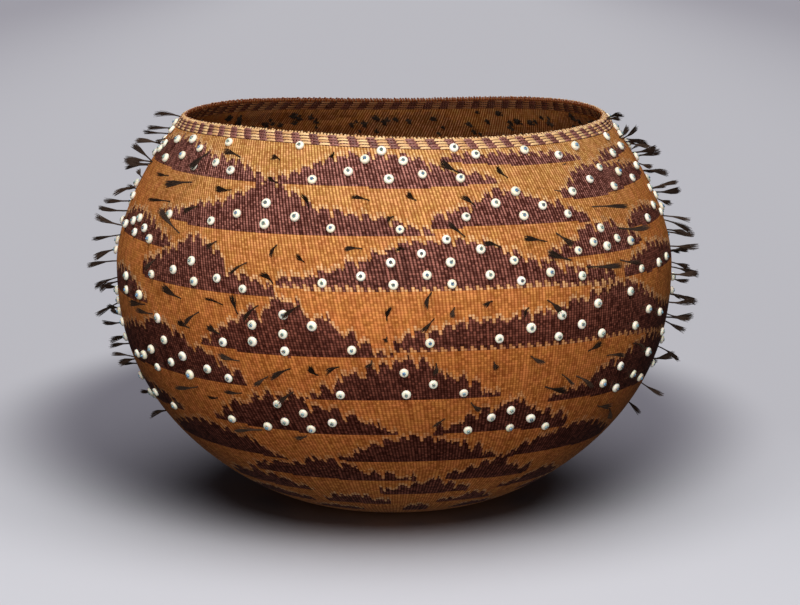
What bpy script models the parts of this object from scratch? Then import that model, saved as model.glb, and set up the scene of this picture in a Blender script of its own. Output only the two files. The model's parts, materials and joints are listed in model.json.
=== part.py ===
"""A round gift basket: twined wall, checked band, bound rim, shell beads on threads and quail plumes.

Metres, +Z up. The origin is on the axis, at the middle of the flat underside. Azimuth 0 faces -Y,
and azimuths grow towards +X. A drop is the length measured down the outer face from the rim's top.
"""
import math

import bmesh
import bpy
import numpy as np
from mathutils import Matrix, Vector

# Driving dimensions of the body
BELLY_RADIUS = 0.200
BELLY_HEIGHT = 0.171
RIM_HEIGHT = 0.2755
RIM_RADIUS = 0.150
FOOT_RADIUS = 0.070
WALL = 0.003
LOWER_FULLNESS = 2.35
LOWER_ROUNDING = 0.75
UPPER_ROUNDING = 1.74

# The mouth isn't level: each wave has its count round the rim, its height and where it is highest
MOUTH_LIFT = 0.0022
RIM_WAVES = ((1, 0.0024, -170.0), (2, 0.0019, -67.0), (3, 0.0012, -10.0), (4, 0.0007, -43.0))
WAVE_FADE = 4

# The start, the rim and the checked band
START_RADIUS = 0.055
BAND_HEIGHT = 0.0062
ROD_RADIUS = 0.0010
BINDING = 0.0006
BINDING_REACH = 0.001

# The courses that hold the plumes
PLUME_DROPS = (0.028, 0.050, 0.078, 0.096, 0.118, 0.156, 0.186, 0.214)
PLUME_COURSE_HEIGHT = 0.003
PLUMES_ROUND = 16
PLUME_LENGTH = 0.023
PLUME_CURL = 0.004
QUILL_HALF_WIDTH = 0.0005
PLUME_HALF_WIDTH = 0.0030
PLUME_FLATNESS = 0.4
PLUME_CLEARANCE = 0.006
PLUME_SHIFT_DEGREES = 1.0

# Shell beads and their threads
BEAD_RADIUS = 0.0031
BEAD_TOP_RADIUS = 0.0024
BEAD_THICKNESS = 0.0029
BEAD_SIDES = 6
THREAD_RADIUS = 0.0003
THREAD_SPAN = 0.030

# How finely round shapes are cut, and the gap that neighbours keep
FACETS = 36
SECTION_STEP = 0.025
ARCH_STEP_DEGREES = 30
ROD_SIDES = 6
GAP = 0.0003
MERGE = 0.00005

# Bead places along each thread of one half, as azimuth in degrees and drop in millimetres
BEAD_THREADS = {
    "neck_1": ((-76, 24), (-68, 33), (-59, 28), (-51.5, 34), (-44.5, 29), (-39, 33.5)),
    "neck_2": ((-18, 36.5), (-10, 29.5), (-1, 34), (6.3, 30), (14.7, 33)),
    "neck_3": ((48.5, 39), (56.3, 47), (61.5, 37.5), (68, 45.5), (76, 40)),
    "shoulder_1": ((-39.5, 70), (-33.3, 63.5), (-26.3, 69), (-20, 63), (-12.3, 69.5), (1.3, 69)),
    "shoulder_2": ((14.6, 61), (21.5, 52), (27.2, 61.5), (32.3, 55), (38, 62.5)),
    "shoulder_3": ((-75, 86), (-69, 81), (-66, 88), (-61.5, 83), (-57.7, 89)),
    "shoulder_4": ((38.3, 88.5), (42.8, 84), (46.4, 88), (50.3, 84), (54.8, 87.5)),
    "upper_belly_1": ((-54.5, 111.5), (-47.2, 105.5), (-41, 111), (-35.3, 107), (-29.2, 112)),
    "upper_belly_2": ((-13.2, 105), (-6, 100), (0, 105), (6.2, 99), (10.8, 105), (18.2, 100), (24.4, 105)),
    "belly_1": ((-34.2, 149), (-27.3, 146), (-20.9, 139.5), (-15.1, 133), (-7.7, 148)),
    "belly_2": ((20, 142), (26.5, 136.5), (32.7, 144), (38.2, 138), (43.9, 146.5), (55.1, 146.5),
                (60.5, 138), (67.5, 144)),
    "belly_3": ((-67, 174.5), (-62.4, 172), (-57.6, 165), (-50.5, 170.5), (-46, 164), (-39.3, 170),
                (-34.2, 174.5)),
    "lower_belly_1": ((-10.3, 179.5), (2.5, 179), (7.6, 171.5), (13.7, 179)),
    "lower_belly_2": ((47.7, 184.5), (53.8, 192), (60, 185), (66.3, 192)),
    "lower_belly_3": ((-36.8, 208), (-27.6, 209.5), (-23.1, 204), (-17.5, 209), (-12.6, 202)),
    "lower_belly_4": ((15.7, 209), (20.3, 199.5), (25.4, 210), (29.8, 203.5), (34.7, 213)),
}
SIDES = {"front": 0.0, "back": 180.0}
MILLIMETRE = 0.001

# Rim section, worked out from the wall: an arch of binding over a rod on the wall's top edge
ARCH_INNER = max(WALL / 2, ROD_RADIUS) + GAP
ARCH_OUTER = ARCH_INNER + BINDING
WALL_TOP = ARCH_OUTER + ROD_RADIUS + GAP
BAND_BOTTOM = WALL_TOP + BAND_HEIGHT


def outer_radius(height):
    """Radius of the outer face at a height above the underside."""
    if height >= BELLY_HEIGHT:
        rise = (height - BELLY_HEIGHT) / (RIM_HEIGHT - BELLY_HEIGHT)
        return BELLY_RADIUS - (BELLY_RADIUS - RIM_RADIUS) * rise ** UPPER_ROUNDING
    fall = 1 - height / BELLY_HEIGHT
    return FOOT_RADIUS + (BELLY_RADIUS - FOOT_RADIUS) * (1 - fall ** LOWER_FULLNESS) ** LOWER_ROUNDING


def profile_table(samples=600):
    """Drop, radius and height of points down the outer face, and in along the underside."""
    heights = RIM_HEIGHT * np.linspace(1, 0, samples) ** 3
    radii = np.array([outer_radius(height) for height in heights])
    heights = np.append(heights, 0.0)
    radii = np.append(radii, 0.0)
    drops = np.append(0.0, np.cumsum(np.hypot(np.diff(heights), np.diff(radii))))
    return drops, radii, heights


DROPS, RADII, HEIGHTS = profile_table()
TOTAL_DROP = DROPS[-1]
START_DROP = TOTAL_DROP - START_RADIUS


def section_point(drop, out=0.0):
    """Radius and height at a drop, moved out from the outer face by a distance."""
    reach = 0.001
    before, after = max(drop - reach, 0.0), min(drop + reach, TOTAL_DROP)
    along_r = np.interp(after, DROPS, RADII) - np.interp(before, DROPS, RADII)
    along_z = np.interp(after, DROPS, HEIGHTS) - np.interp(before, DROPS, HEIGHTS)
    length = math.hypot(along_r, along_z)
    radius = np.interp(drop, DROPS, RADII) - out * along_z / length
    height = np.interp(drop, DROPS, HEIGHTS) + out * along_r / length
    return radius, height


def rim_lift(azimuth, height):
    """How far the uneven mouth lifts a point at an azimuth in degrees and a height."""
    waves = (rise * math.cos(math.radians(count * (azimuth - crest))) for count, rise, crest in RIM_WAVES)
    return (MOUTH_LIFT + sum(waves)) * max(height / RIM_HEIGHT, 0.0) ** WAVE_FADE


def wall_point(azimuth, drop, out=0.0):
    """Point in space at an azimuth and a drop, a distance out from the outer face."""
    radius, height = section_point(drop, out)
    turn = math.radians(azimuth)
    return Vector((radius * math.sin(turn), -radius * math.cos(turn), height + rim_lift(azimuth, height)))


def wall_frame(azimuth, drop):
    """Matrix whose Z axis points straight out of the wall and whose X axis runs round it."""
    out = (wall_point(azimuth, drop, WALL) - wall_point(azimuth, drop)).normalized()
    turn = math.radians(azimuth)
    side = Vector((math.cos(turn), math.sin(turn), 0.0))
    up = out.cross(side)
    frame = Matrix((side, up, out)).transposed().to_4x4()
    frame.translation = wall_point(azimuth, drop)
    return frame


def clear_scene():
    """Remove what the scene holds."""
    for item in list(bpy.data.objects):
        bpy.data.objects.remove(item)


def new_collection(name):
    """A collection linked to the scene."""
    collection = bpy.data.collections.new(name)
    bpy.context.scene.collection.children.link(collection)
    return collection


def principled(name, colour, roughness):
    """A plain Principled material."""
    material = bpy.data.materials.new(name)
    material.use_nodes = True
    shader = material.node_tree.nodes["Principled BSDF"]
    shader.inputs["Base Color"].default_value = (*colour, 1.0)
    shader.inputs["Roughness"].default_value = roughness
    shader.inputs["Metallic"].default_value = 0.0
    return material


def add_object(name, data, collection, finish=None):
    """Link a mesh or curve as an object, with a material of its own."""
    item = bpy.data.objects.new(name, data)
    collection.objects.link(item)
    if finish:
        colour, roughness = finish
        data.materials.append(principled(name, colour, roughness))
    return item


def as_mesh(item):
    """An object's evaluated mesh, with loose caps welded and every face turned outwards."""
    bpy.context.view_layer.update()
    evaluated = item.evaluated_get(bpy.context.evaluated_depsgraph_get())
    mesh = bpy.data.meshes.new_from_object(evaluated)
    work = bmesh.new()
    work.from_mesh(mesh)
    bmesh.ops.remove_doubles(work, verts=work.verts, dist=MERGE)
    bmesh.ops.recalc_face_normals(work, faces=work.faces)
    work.to_mesh(mesh)
    work.free()
    return mesh


def shade_round(mesh):
    """Smooth shading, with sharp edges kept."""
    mesh.shade_smooth()
    mesh.set_sharp_from_angle(angle=math.radians(40))


def turned_ring(name, outline, collection, finish):
    """A closed outline of radius and height, turned round the axis and fitted to the uneven mouth."""
    sketch = bpy.data.meshes.new(name + "_outline")
    corners = [(radius, 0.0, height) for radius, height in outline]
    edges = [(index, (index + 1) % len(corners)) for index in range(len(corners))]
    sketch.from_pydata(corners, edges, [])
    draft = add_object(name + "_draft", sketch, collection)
    screw = draft.modifiers.new("turn", "SCREW")
    screw.steps = FACETS
    screw.render_steps = FACETS
    screw.use_merge_vertices = True
    screw.merge_threshold = MERGE
    mesh = as_mesh(draft)
    bpy.data.objects.remove(draft)
    for vertex in mesh.vertices:
        azimuth = math.degrees(math.atan2(vertex.co.x, -vertex.co.y))
        vertex.co.z += rim_lift(azimuth, vertex.co.z)
    shade_round(mesh)
    return add_object(name, mesh, collection, finish)


def wall_ring(name, top, bottom, collection, finish):
    """A ring of the wall between two drops."""
    steps = max(1, math.ceil((bottom - top) / SECTION_STEP))
    drops = [top + (bottom - top) * step / steps for step in range(steps + 1)]
    outer = [section_point(drop) for drop in drops]
    inner = [section_point(drop, -WALL) for drop in reversed(drops)]
    return turned_ring(name, outer + inner, collection, finish)


def rim_binding(collection, finish):
    """The stitched binding: an arch over the rod, with a leg down each face of the wall."""
    centre = Vector(section_point(ARCH_OUTER, -WALL / 2))
    out = (Vector(section_point(ARCH_OUTER)) - centre).normalized()
    up = Vector((-out.y, out.x))
    leg = ROD_RADIUS + GAP + BINDING_REACH

    def arch(radius, first, last):
        steps = abs(last - first) // ARCH_STEP_DEGREES
        turns = [math.radians(first + (last - first) * step / steps) for step in range(steps + 1)]
        return [centre + out * radius * math.cos(turn) + up * radius * math.sin(turn) for turn in turns]

    outline = arch(ARCH_OUTER, 90, 0)
    outline += [centre + out * ARCH_OUTER - up * leg, centre + out * ARCH_INNER - up * leg]
    outline += arch(ARCH_INNER, 0, 180)
    outline += [centre - out * ARCH_INNER - up * leg, centre - out * ARCH_OUTER - up * leg]
    outline += arch(ARCH_OUTER, 180, 90)[:-1]
    return turned_ring("rim_binding", [tuple(point) for point in outline], collection, finish)


def rim_rod(collection, finish):
    """The rod that stiffens the rim, lying on the wall's top edge inside the binding."""
    radius, height = section_point(ARCH_OUTER, -WALL / 2)
    bpy.ops.mesh.primitive_torus_add(major_radius=radius, minor_radius=ROD_RADIUS, major_segments=FACETS,
                                     minor_segments=ROD_SIDES, location=(0, 0, 0))
    torus = bpy.context.active_object
    mesh = torus.data.copy()
    bpy.data.objects.remove(torus)
    for vertex in mesh.vertices:
        azimuth = math.degrees(math.atan2(vertex.co.x, -vertex.co.y))
        vertex.co.z += height + rim_lift(azimuth, height)
    shade_round(mesh)
    return add_object("rim_rod", mesh, collection, finish)


def start_disc(collection, finish):
    """The flat start at the middle of the underside, where the warps cross."""
    mesh = bpy.data.meshes.new("start_disc")
    work = bmesh.new()
    bmesh.ops.create_cone(work, cap_ends=True, segments=FACETS, radius1=START_RADIUS, radius2=START_RADIUS,
                          depth=WALL, matrix=Matrix.Translation((0, 0, WALL / 2)))
    work.to_mesh(mesh)
    work.free()
    shade_round(mesh)
    return add_object("start_disc", mesh, collection, finish)


def poly_tube(name, routes, half_widths, collection, section=None):
    """A curve of one straight-edged spline for each route, as one welded mesh."""
    curve = bpy.data.curves.new(name, "CURVE")
    curve.dimensions = "3D"
    curve.use_fill_caps = True
    if section:
        curve.bevel_mode = "OBJECT"
        curve.bevel_object = section
    else:
        curve.bevel_depth = 1.0
        curve.bevel_resolution = 0
    for route in routes:
        spline = curve.splines.new("POLY")
        spline.points.add(len(route) - 1)
        for point, place, half_width in zip(spline.points, route, half_widths(len(route))):
            point.co = (*place, 1.0)
            point.radius = half_width
    draft = add_object(name, curve, collection)
    mesh = as_mesh(draft)
    bpy.data.objects.remove(draft)
    return mesh


def joined(base, extra, cutters):
    """Union a second mesh object into the first."""
    cutters.objects.link(extra)
    extra.hide_render = True
    extra.display_type = "WIRE"
    union = base.modifiers.new("join", "BOOLEAN")
    union.operation = "UNION"
    union.solver = "EXACT"
    union.object = extra


def thread_places(name, side):
    """Azimuth and drop of each bead on one thread, on one side of the basket."""
    return [(azimuth + SIDES[side], drop * MILLIMETRE) for azimuth, drop in BEAD_THREADS[name]]


def thread_route(places):
    """Points of a thread from bead to bead, with more where a long span would dip into the wall."""
    out = GAP + BEAD_THICKNESS / 2
    route = [wall_point(*places[0], out)]
    for (azimuth, drop), (next_azimuth, next_drop) in zip(places, places[1:]):
        span = (wall_point(next_azimuth, next_drop) - wall_point(azimuth, drop)).length
        steps = math.ceil(span / THREAD_SPAN)
        for step in range(1, steps + 1):
            share = step / steps
            route.append(wall_point(azimuth + (next_azimuth - azimuth) * share,
                                    drop + (next_drop - drop) * share, out))
    return route


def bead_thread(name, side, collection, cutters, finish):
    """Shell discs sewn to the wall on one thread."""
    node = f"beads_{name}_{side}"
    places = thread_places(name, side)
    mesh = poly_tube(node + "_tube", [thread_route(places)], lambda count: [THREAD_RADIUS] * count, cutters)
    thread = add_object(node, mesh, collection, finish)
    discs = bpy.data.meshes.new(node + "_discs")
    work = bmesh.new()
    seat = Matrix.Translation((0, 0, GAP + BEAD_THICKNESS / 2))
    for azimuth, drop in places:
        bmesh.ops.create_cone(work, cap_ends=True, segments=BEAD_SIDES, radius1=BEAD_RADIUS,
                              radius2=BEAD_TOP_RADIUS, depth=BEAD_THICKNESS,
                              matrix=wall_frame(azimuth, drop) @ seat)
    work.to_mesh(discs)
    work.free()
    joined(thread, bpy.data.objects.new(node + "_discs", discs), cutters)
    return thread


def unrolled_distance(azimuth, drop, start, end):
    """Distance on the unrolled wall from a place to the line between two others."""
    radius, _ = section_point(drop)

    def flat(place):
        turn = (place[0] - azimuth + 180) % 360 - 180
        return Vector((math.radians(turn) * radius, place[1] - drop))

    first, last = flat(start), flat(end)
    along = last - first
    share = min(max(-first.dot(along) / along.length_squared, 0.0), 1.0)
    return (first + along * share).length


def is_clear(azimuth, drop):
    """Whether a plume at this place stands clear of every bead and thread."""
    for name in BEAD_THREADS:
        for side in SIDES:
            places = thread_places(name, side)
            if any(unrolled_distance(azimuth, drop, start, end) < PLUME_CLEARANCE
                   for start, end in zip(places, places[1:])):
                return False
    return True


def plume_azimuths(row):
    """Even places round one course, staggered row by row, each moved on to the nearest clear place."""
    azimuths = []
    for count in range(PLUMES_ROUND):
        azimuth = (count + row % 2 / 2) * 360 / PLUMES_ROUND
        while not is_clear(azimuth, PLUME_DROPS[row]):
            azimuth += PLUME_SHIFT_DEGREES
        azimuths.append(azimuth)
    return azimuths


def plume_route(azimuth, drop):
    """A plume's line: rooted in the wall, straight out, then curling up at its tip."""
    frame = wall_frame(azimuth, drop)
    return [frame @ Vector((0, 0, -WALL / 2)),
            frame @ Vector((0, 0, PLUME_LENGTH / 2)),
            frame @ Vector((0, PLUME_CURL, PLUME_LENGTH))]


def plume_section(cutters):
    """The flat four-cornered section that every plume is swept from."""
    curve = bpy.data.curves.new("plume_section", "CURVE")
    curve.dimensions = "2D"
    spline = curve.splines.new("POLY")
    corners = ((1, 0), (0, PLUME_FLATNESS), (-1, 0), (0, -PLUME_FLATNESS))
    spline.points.add(len(corners) - 1)
    spline.use_cyclic_u = True
    for point, (across, thick) in zip(spline.points, corners):
        point.co = (across, thick, 0.0, 1.0)
    section = add_object("plume_section", curve, cutters)
    section.hide_render = True
    section.display_type = "WIRE"
    return section


def plume_course(row, section, collection, cutters, finish):
    """A weft course of the wall with the plumes whose quills it traps."""
    drop = PLUME_DROPS[row]
    half = (PLUME_COURSE_HEIGHT - GAP) / 2
    node = f"plume_course_{row + 1}"
    course = wall_ring(node, drop - half, drop + half, collection, finish)
    routes = [plume_route(azimuth, drop) for azimuth in plume_azimuths(row)]
    middle = (QUILL_HALF_WIDTH + PLUME_HALF_WIDTH) / 2
    plumes = poly_tube(node + "_plumes", routes,
                       lambda count: [QUILL_HALF_WIDTH, middle, PLUME_HALF_WIDTH], cutters, section)
    joined(course, bpy.data.objects.new(node + "_plumes", plumes), cutters)
    return course


def woven_courses(collection, finish):
    """The plain rings of the wall between the band, the plume courses and the start."""
    half = PLUME_COURSE_HEIGHT / 2
    tops = [BAND_BOTTOM] + [drop + half for drop in PLUME_DROPS]
    bottoms = [drop - half for drop in PLUME_DROPS] + [START_DROP]
    for count, (top, bottom) in enumerate(zip(tops, bottoms), start=1):
        wall_ring(f"woven_courses_{count}", top + GAP / 2, bottom - GAP, collection, finish)


def main():
    """Build every piece of the basket."""
    clear_scene()
    basket = new_collection("wedding_basket")
    cutters = new_collection("cutters")
    weave = ((0.50, 0.24, 0.08), 0.6)
    dark_weave = ((0.16, 0.06, 0.04), 0.6)
    rod = ((0.45, 0.28, 0.12), 0.6)
    shell = ((0.83, 0.80, 0.68), 0.35)
    plume = ((0.06, 0.04, 0.03), 0.7)
    start_disc(basket, weave)
    woven_courses(basket, weave)
    wall_ring("check_band", WALL_TOP, BAND_BOTTOM - GAP / 2, basket, dark_weave)
    rim_rod(basket, rod)
    rim_binding(basket, rod)
    section = plume_section(cutters)
    for row in range(len(PLUME_DROPS)):
        plume_course(row, section, basket, cutters, plume)
    for name in BEAD_THREADS:
        for side in SIDES:
            bead_thread(name, side, basket, cutters, shell)


main()
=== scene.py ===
"""Looks of a round gift basket: twined wall in two colours, bound rim, shell beads and quail plumes.

Metres, +Z up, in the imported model's frame. Azimuth 0 faces -Y, towards the viewer, and azimuths grow
towards +X. A drop is the length measured down the outer face from the rim's top.
"""
from __future__ import annotations

import json
import logging
import math
from collections.abc import Iterable, Sequence
from dataclasses import dataclass, field
from enum import Enum
from functools import cached_property

import bmesh
import bpy
import numpy as np
from bpy.types import Material, Mesh, Node, NodeSocket, NodeTree, Object
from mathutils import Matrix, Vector

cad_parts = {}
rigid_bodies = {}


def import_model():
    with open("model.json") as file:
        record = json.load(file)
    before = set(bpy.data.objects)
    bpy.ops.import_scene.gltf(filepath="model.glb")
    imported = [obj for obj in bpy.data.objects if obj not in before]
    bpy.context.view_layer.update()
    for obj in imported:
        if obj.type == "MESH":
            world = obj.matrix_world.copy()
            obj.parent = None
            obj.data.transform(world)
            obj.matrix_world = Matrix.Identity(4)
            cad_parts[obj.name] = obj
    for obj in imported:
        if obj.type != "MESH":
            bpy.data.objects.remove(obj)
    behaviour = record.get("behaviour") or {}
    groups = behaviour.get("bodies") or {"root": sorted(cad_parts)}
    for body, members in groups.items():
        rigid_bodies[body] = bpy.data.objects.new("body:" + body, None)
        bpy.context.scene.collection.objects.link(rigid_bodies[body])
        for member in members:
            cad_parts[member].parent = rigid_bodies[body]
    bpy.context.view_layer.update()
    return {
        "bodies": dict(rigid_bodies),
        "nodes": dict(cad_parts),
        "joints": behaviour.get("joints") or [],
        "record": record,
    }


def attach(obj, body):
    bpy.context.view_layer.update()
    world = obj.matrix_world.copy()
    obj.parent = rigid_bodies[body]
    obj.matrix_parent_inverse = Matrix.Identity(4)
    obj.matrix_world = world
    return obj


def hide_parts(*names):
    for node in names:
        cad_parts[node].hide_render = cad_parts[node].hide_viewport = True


LOG = logging.getLogger("wedding_basket")
MM = 0.001
# How near two points are to be welded, and the angles at which the wall's and the shapes' faces turn sharp
WELD = 0.00002
WALL_CREASE = math.radians(75)
SHAPE_CREASE = math.radians(50)
record = dataclass(frozen=True)
Array = np.ndarray
Draws = np.random.Generator
Numbers = tuple[float, ...]
Span = tuple[float, float]
Spots = tuple[tuple[float, float], ...]
Table = tuple[Numbers, ...]
RIGHT, BACK = Vector((1, 0, 0)), Vector((0, 1, 0))


def linear(colour: str) -> Numbers:
    """Turn an sRGB hex colour into linear values.

    Args:
        colour: the colour as #RRGGBB.

    Returns:
        Red, green and blue in linear light, and an alpha of 1.
    """
    parts = [int(colour[place:place + 2], 16) / 255 for place in (1, 3, 5)]
    red, green, blue = (part / 12.92 if part <= 0.04045 else ((part + 0.055) / 1.055) ** 2.4
                        for part in parts)
    return red, green, blue, 1.0


def placed(name: str, data: bpy.types.ID) -> Object:
    """Put a new object in the scene.

    Args:
        name: its name.
        data: its mesh, curve, lamp or camera.

    Returns:
        The object.
    """
    item = bpy.data.objects.new(name, data)
    bpy.context.scene.collection.objects.link(item)
    return item


def feed(tree: NodeTree, node: Node, feeds: dict[int | str, object]) -> None:
    """Give a node's inputs their links and values.

    Args:
        tree: the node's tree.
        node: the node.
        feeds: what each input gets, by its name or place: a node, a socket, a term, a colour as #RRGGBB or
            another plain value.
    """
    for key, value in feeds.items():
        if isinstance(value, str) and value.startswith("#"):
            value = linear(value)
        if isinstance(value, Term):
            value = value.socket
        if isinstance(value, Node):
            value = value.outputs[0]
        if isinstance(value, NodeSocket):
            tree.links.new(value, node.inputs[key])
        else:
            node.inputs[key].default_value = value


def add(tree: NodeTree, kind: str, feeds: dict[int | str, object] | None = None, **settings: object) -> Node:
    """Add a node with its settings and links.

    Args:
        tree: the tree that takes the node.
        kind: the node's type.
        feeds: what each input gets.
        settings: the node's own settings.

    Returns:
        The new node.
    """
    node = tree.nodes.new(kind)
    for name, value in settings.items():
        setattr(node, name, value)
    feed(tree, node, feeds or {})
    return node


@record
class Term:
    """A number that runs through a node tree, so that a formula reads as it is written."""

    tree: NodeTree
    socket: NodeSocket

    def join(self, operation: str, *others: Term | float) -> Term:
        """Combine this number with others, by one of the Math node's operations."""
        feeds = dict(enumerate((self, *others)))
        return Term(self.tree, add(self.tree, "ShaderNodeMath", feeds, operation=operation).outputs[0])

    def __add__(self, other: Term | float) -> Term:
        """Sum of two numbers."""
        return self.join("ADD", other)

    def __sub__(self, other: Term | float) -> Term:
        """Difference of two numbers."""
        return self.join("SUBTRACT", other)

    def __mul__(self, other: Term | float) -> Term:
        """Product of two numbers."""
        return self.join("MULTIPLY", other)

    def less_from(self, whole: float) -> Term:
        """What is left of a whole once this number is taken from it."""
        return self.join("MULTIPLY_ADD", -1.0, whole)

    def within(self, low: float, high: float) -> Term:
        """This number, held between two others."""
        return self.join("MAXIMUM", low).join("MINIMUM", high)


class PieceTree:
    """A Geometry Nodes tree with named inputs, which makes one plain mesh for a body."""

    def __init__(self, name: str, inputs: dict[str, str]) -> None:
        """Start the tree.

        Args:
            name: the tree's name.
            inputs: each input's name and socket type.
        """
        self.tree = bpy.data.node_groups.new(name, "GeometryNodeTree")
        sockets = self.tree.interface
        sockets.new_socket("Geometry", in_out="INPUT", socket_type="NodeSocketGeometry")
        self.identifiers = {label: sockets.new_socket(label, in_out="INPUT", socket_type=kind).identifier
                            for label, kind in {**inputs, "Finish": "NodeSocketMaterial"}.items()}
        sockets.new_socket("Geometry", in_out="OUTPUT", socket_type="NodeSocketGeometry")
        self.start = add(self.tree, "NodeGroupInput")

    def __getitem__(self, label: str) -> Term:
        """The number or thing that one of the inputs brings in."""
        return Term(self.tree, self.start.outputs[label])

    def named(self, label: str, kind: str) -> Term:
        """An attribute of the geometry, by its name and data type."""
        node = add(self.tree, "GeometryNodeInputNamedAttribute", {"Name": label}, data_type=kind)
        return Term(self.tree, node.outputs[0])

    def store(self, geometry: object, label: str, value: object, domain: str = "FACE",
              kind: str = "FLOAT") -> Node:
        """Keep a value on the geometry as a named attribute of a domain and a data type."""
        feeds = {"Geometry": geometry, "Name": label, "Value": value}
        return add(self.tree, "GeometryNodeStoreNamedAttribute", feeds, domain=domain, data_type=kind)

    def close(self, geometry: object) -> None:
        """End the tree by making copies real and setting the finish.

        Args:
            geometry: the geometry to give out.
        """
        solid = add(self.tree, "GeometryNodeRealizeInstances", {"Geometry": geometry})
        dressed = add(self.tree, "GeometryNodeSetMaterial", {"Geometry": solid, "Material": self["Finish"]})
        add(self.tree, "NodeGroupOutput", {0: dressed})

    def build(self, name: str, host: Mesh, values: dict[str, object]) -> Object:
        """Run the tree and keep what it makes as a plain mesh.

        Args:
            name: the piece's name.
            host: the mesh that the tree starts from.
            values: each input's value, by name.

        Returns:
            The piece, with no modifier left.
        """
        piece = placed(name, host)
        modifier = piece.modifiers.new("shape", "NODES")
        modifier.node_group = self.tree
        for label, value in values.items():
            modifier[self.identifiers[label]] = value
        bpy.context.view_layer.update()
        graph = bpy.context.evaluated_depsgraph_get()
        shaped = piece.evaluated_get(graph)
        mesh = bpy.data.meshes.new_from_object(shaped, preserve_all_data_layers=True, depsgraph=graph)
        piece.modifiers.remove(modifier)
        piece.data = mesh
        mesh.name = name
        return piece


def read(items: Sequence[object], label: str, width: int = 1, kind: type = np.float32) -> Array:
    """Read a property of every element of a mesh.

    Args:
        items: the elements.
        label: the property's name.
        width: how many numbers each element has.
        kind: their type.

    Returns:
        One row for each element, or one number if that is all it has.
    """
    values = np.empty(len(items) * width, kind)
    items.foreach_get(label, values)
    return values.reshape(-1, width) if width > 1 else values


@record
class BasketBody:
    """The turned shape that every piece follows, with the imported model's sizes."""

    belly_radius: float = 0.200
    belly_height: float = 0.171
    rim_height: float = 0.2755
    rim_radius: float = 0.150
    foot_radius: float = 0.070
    wall: float = 0.003
    lower_fullness: float = 2.35
    lower_rounding: float = 0.75
    upper_rounding: float = 1.74
    mouth_lift: float = 0.0022
    # The mouth's waves: how many there are round it, how high they are and where one crests
    rim_waves: tuple[tuple[int, float, float], ...] = (
        (1, 0.0024, -170.0), (2, 0.0019, -67.0), (3, 0.0012, -10.0), (4, 0.0007, -43.0))
    wave_fade: int = 4
    samples: int = 600
    sample_crowding: int = 3
    probe: float = 0.001

    def radius_at(self, height: float) -> float:
        """Radius of the outer face at a height.

        Args:
            height: the height.

        Returns:
            The radius.
        """
        if height >= self.belly_height:
            rise = (height - self.belly_height) / (self.rim_height - self.belly_height)
            return self.belly_radius - (self.belly_radius - self.rim_radius) * rise ** self.upper_rounding
        fall = 1 - height / self.belly_height
        swell = (1 - fall ** self.lower_fullness) ** self.lower_rounding
        return self.foot_radius + (self.belly_radius - self.foot_radius) * swell

    @cached_property
    def outline(self) -> tuple[Array, Array, Array]:
        """Drops, radii and heights of points down the outer face and in along the underside.

        Returns:
            Three arrays, from the rim's top to the underside's middle.
        """
        heights = self.rim_height * np.linspace(1, 0, self.samples) ** self.sample_crowding
        radii = np.append([self.radius_at(height) for height in heights], 0.0)
        heights = np.append(heights, 0.0)
        drops = np.append(0.0, np.cumsum(np.hypot(np.diff(heights), np.diff(radii))))
        return drops, radii, heights

    def lift(self, azimuths: Array, heights: Array) -> Array:
        """How far the uneven mouth lifts places.

        Args:
            azimuths: in degrees.
            heights: above the underside.

        Returns:
            The lift of each place.
        """
        waves = sum(rise * np.cos(np.radians(count * (azimuths - crest)))
                    for count, rise, crest in self.rim_waves)
        return (self.mouth_lift + waves) * np.clip(heights / self.rim_height, 0, None) ** self.wave_fade

    def places(self, azimuths: Sequence[float], drops: Sequence[float], out: float = 0.0
               ) -> tuple[Array, Array, Array]:
        """Places on the wall with their directions.

        Args:
            azimuths: in degrees.
            drops: in metres.
            out: distance out from the outer face.

        Returns:
            The points, the directions straight out of the wall, and the directions round it.
        """
        azimuths, drops = np.asarray(azimuths, float), np.asarray(drops, float)
        lengths, radii, heights = self.outline
        above, below = (np.clip(drops + step, 0, lengths[-1]) for step in (-self.probe, self.probe))
        across, down = (np.interp(below, lengths, line) - np.interp(above, lengths, line)
                        for line in (radii, heights))
        length = np.hypot(across, down)
        radii = np.interp(drops, lengths, radii) - out * down / length
        heights = np.interp(drops, lengths, heights) + out * across / length
        turns = np.radians(azimuths)
        sines, cosines = np.sin(turns), np.cos(turns)
        points = np.stack((radii * sines, -radii * cosines, heights + self.lift(azimuths, heights)), axis=-1)
        outward = np.stack((-down / length * sines, down / length * cosines, across / length), axis=-1)
        return points, outward, np.stack((cosines, sines, np.zeros_like(turns)), axis=-1)

    def settle(self, piece: Object) -> None:
        """Fit a piece that was made on a level basket to the uneven mouth.

        Args:
            piece: the piece whose mesh moves.
        """
        spots = read(piece.data.vertices, "co", 3)
        spots[:, 2] += self.lift(np.degrees(np.arctan2(spots[:, 0], -spots[:, 1])), spots[:, 2])
        piece.data.vertices.foreach_set("co", spots.ravel())
        piece.data.update()

    def guide(self) -> Object:
        """The outer face's line as a curve in the plane of radius and height.

        Returns:
            The curve.
        """
        drops, radii, heights = self.outline
        curve = bpy.data.curves.new("wall_line", "CURVE")
        curve.dimensions = "3D"
        line = curve.splines.new("POLY")
        line.points.add(len(drops) - 1)
        corners = np.stack((radii, np.zeros_like(drops), heights, np.ones_like(drops)), axis=-1)
        line.points.foreach_set("co", corners.ravel())
        return placed("wall_line", curve)


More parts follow.
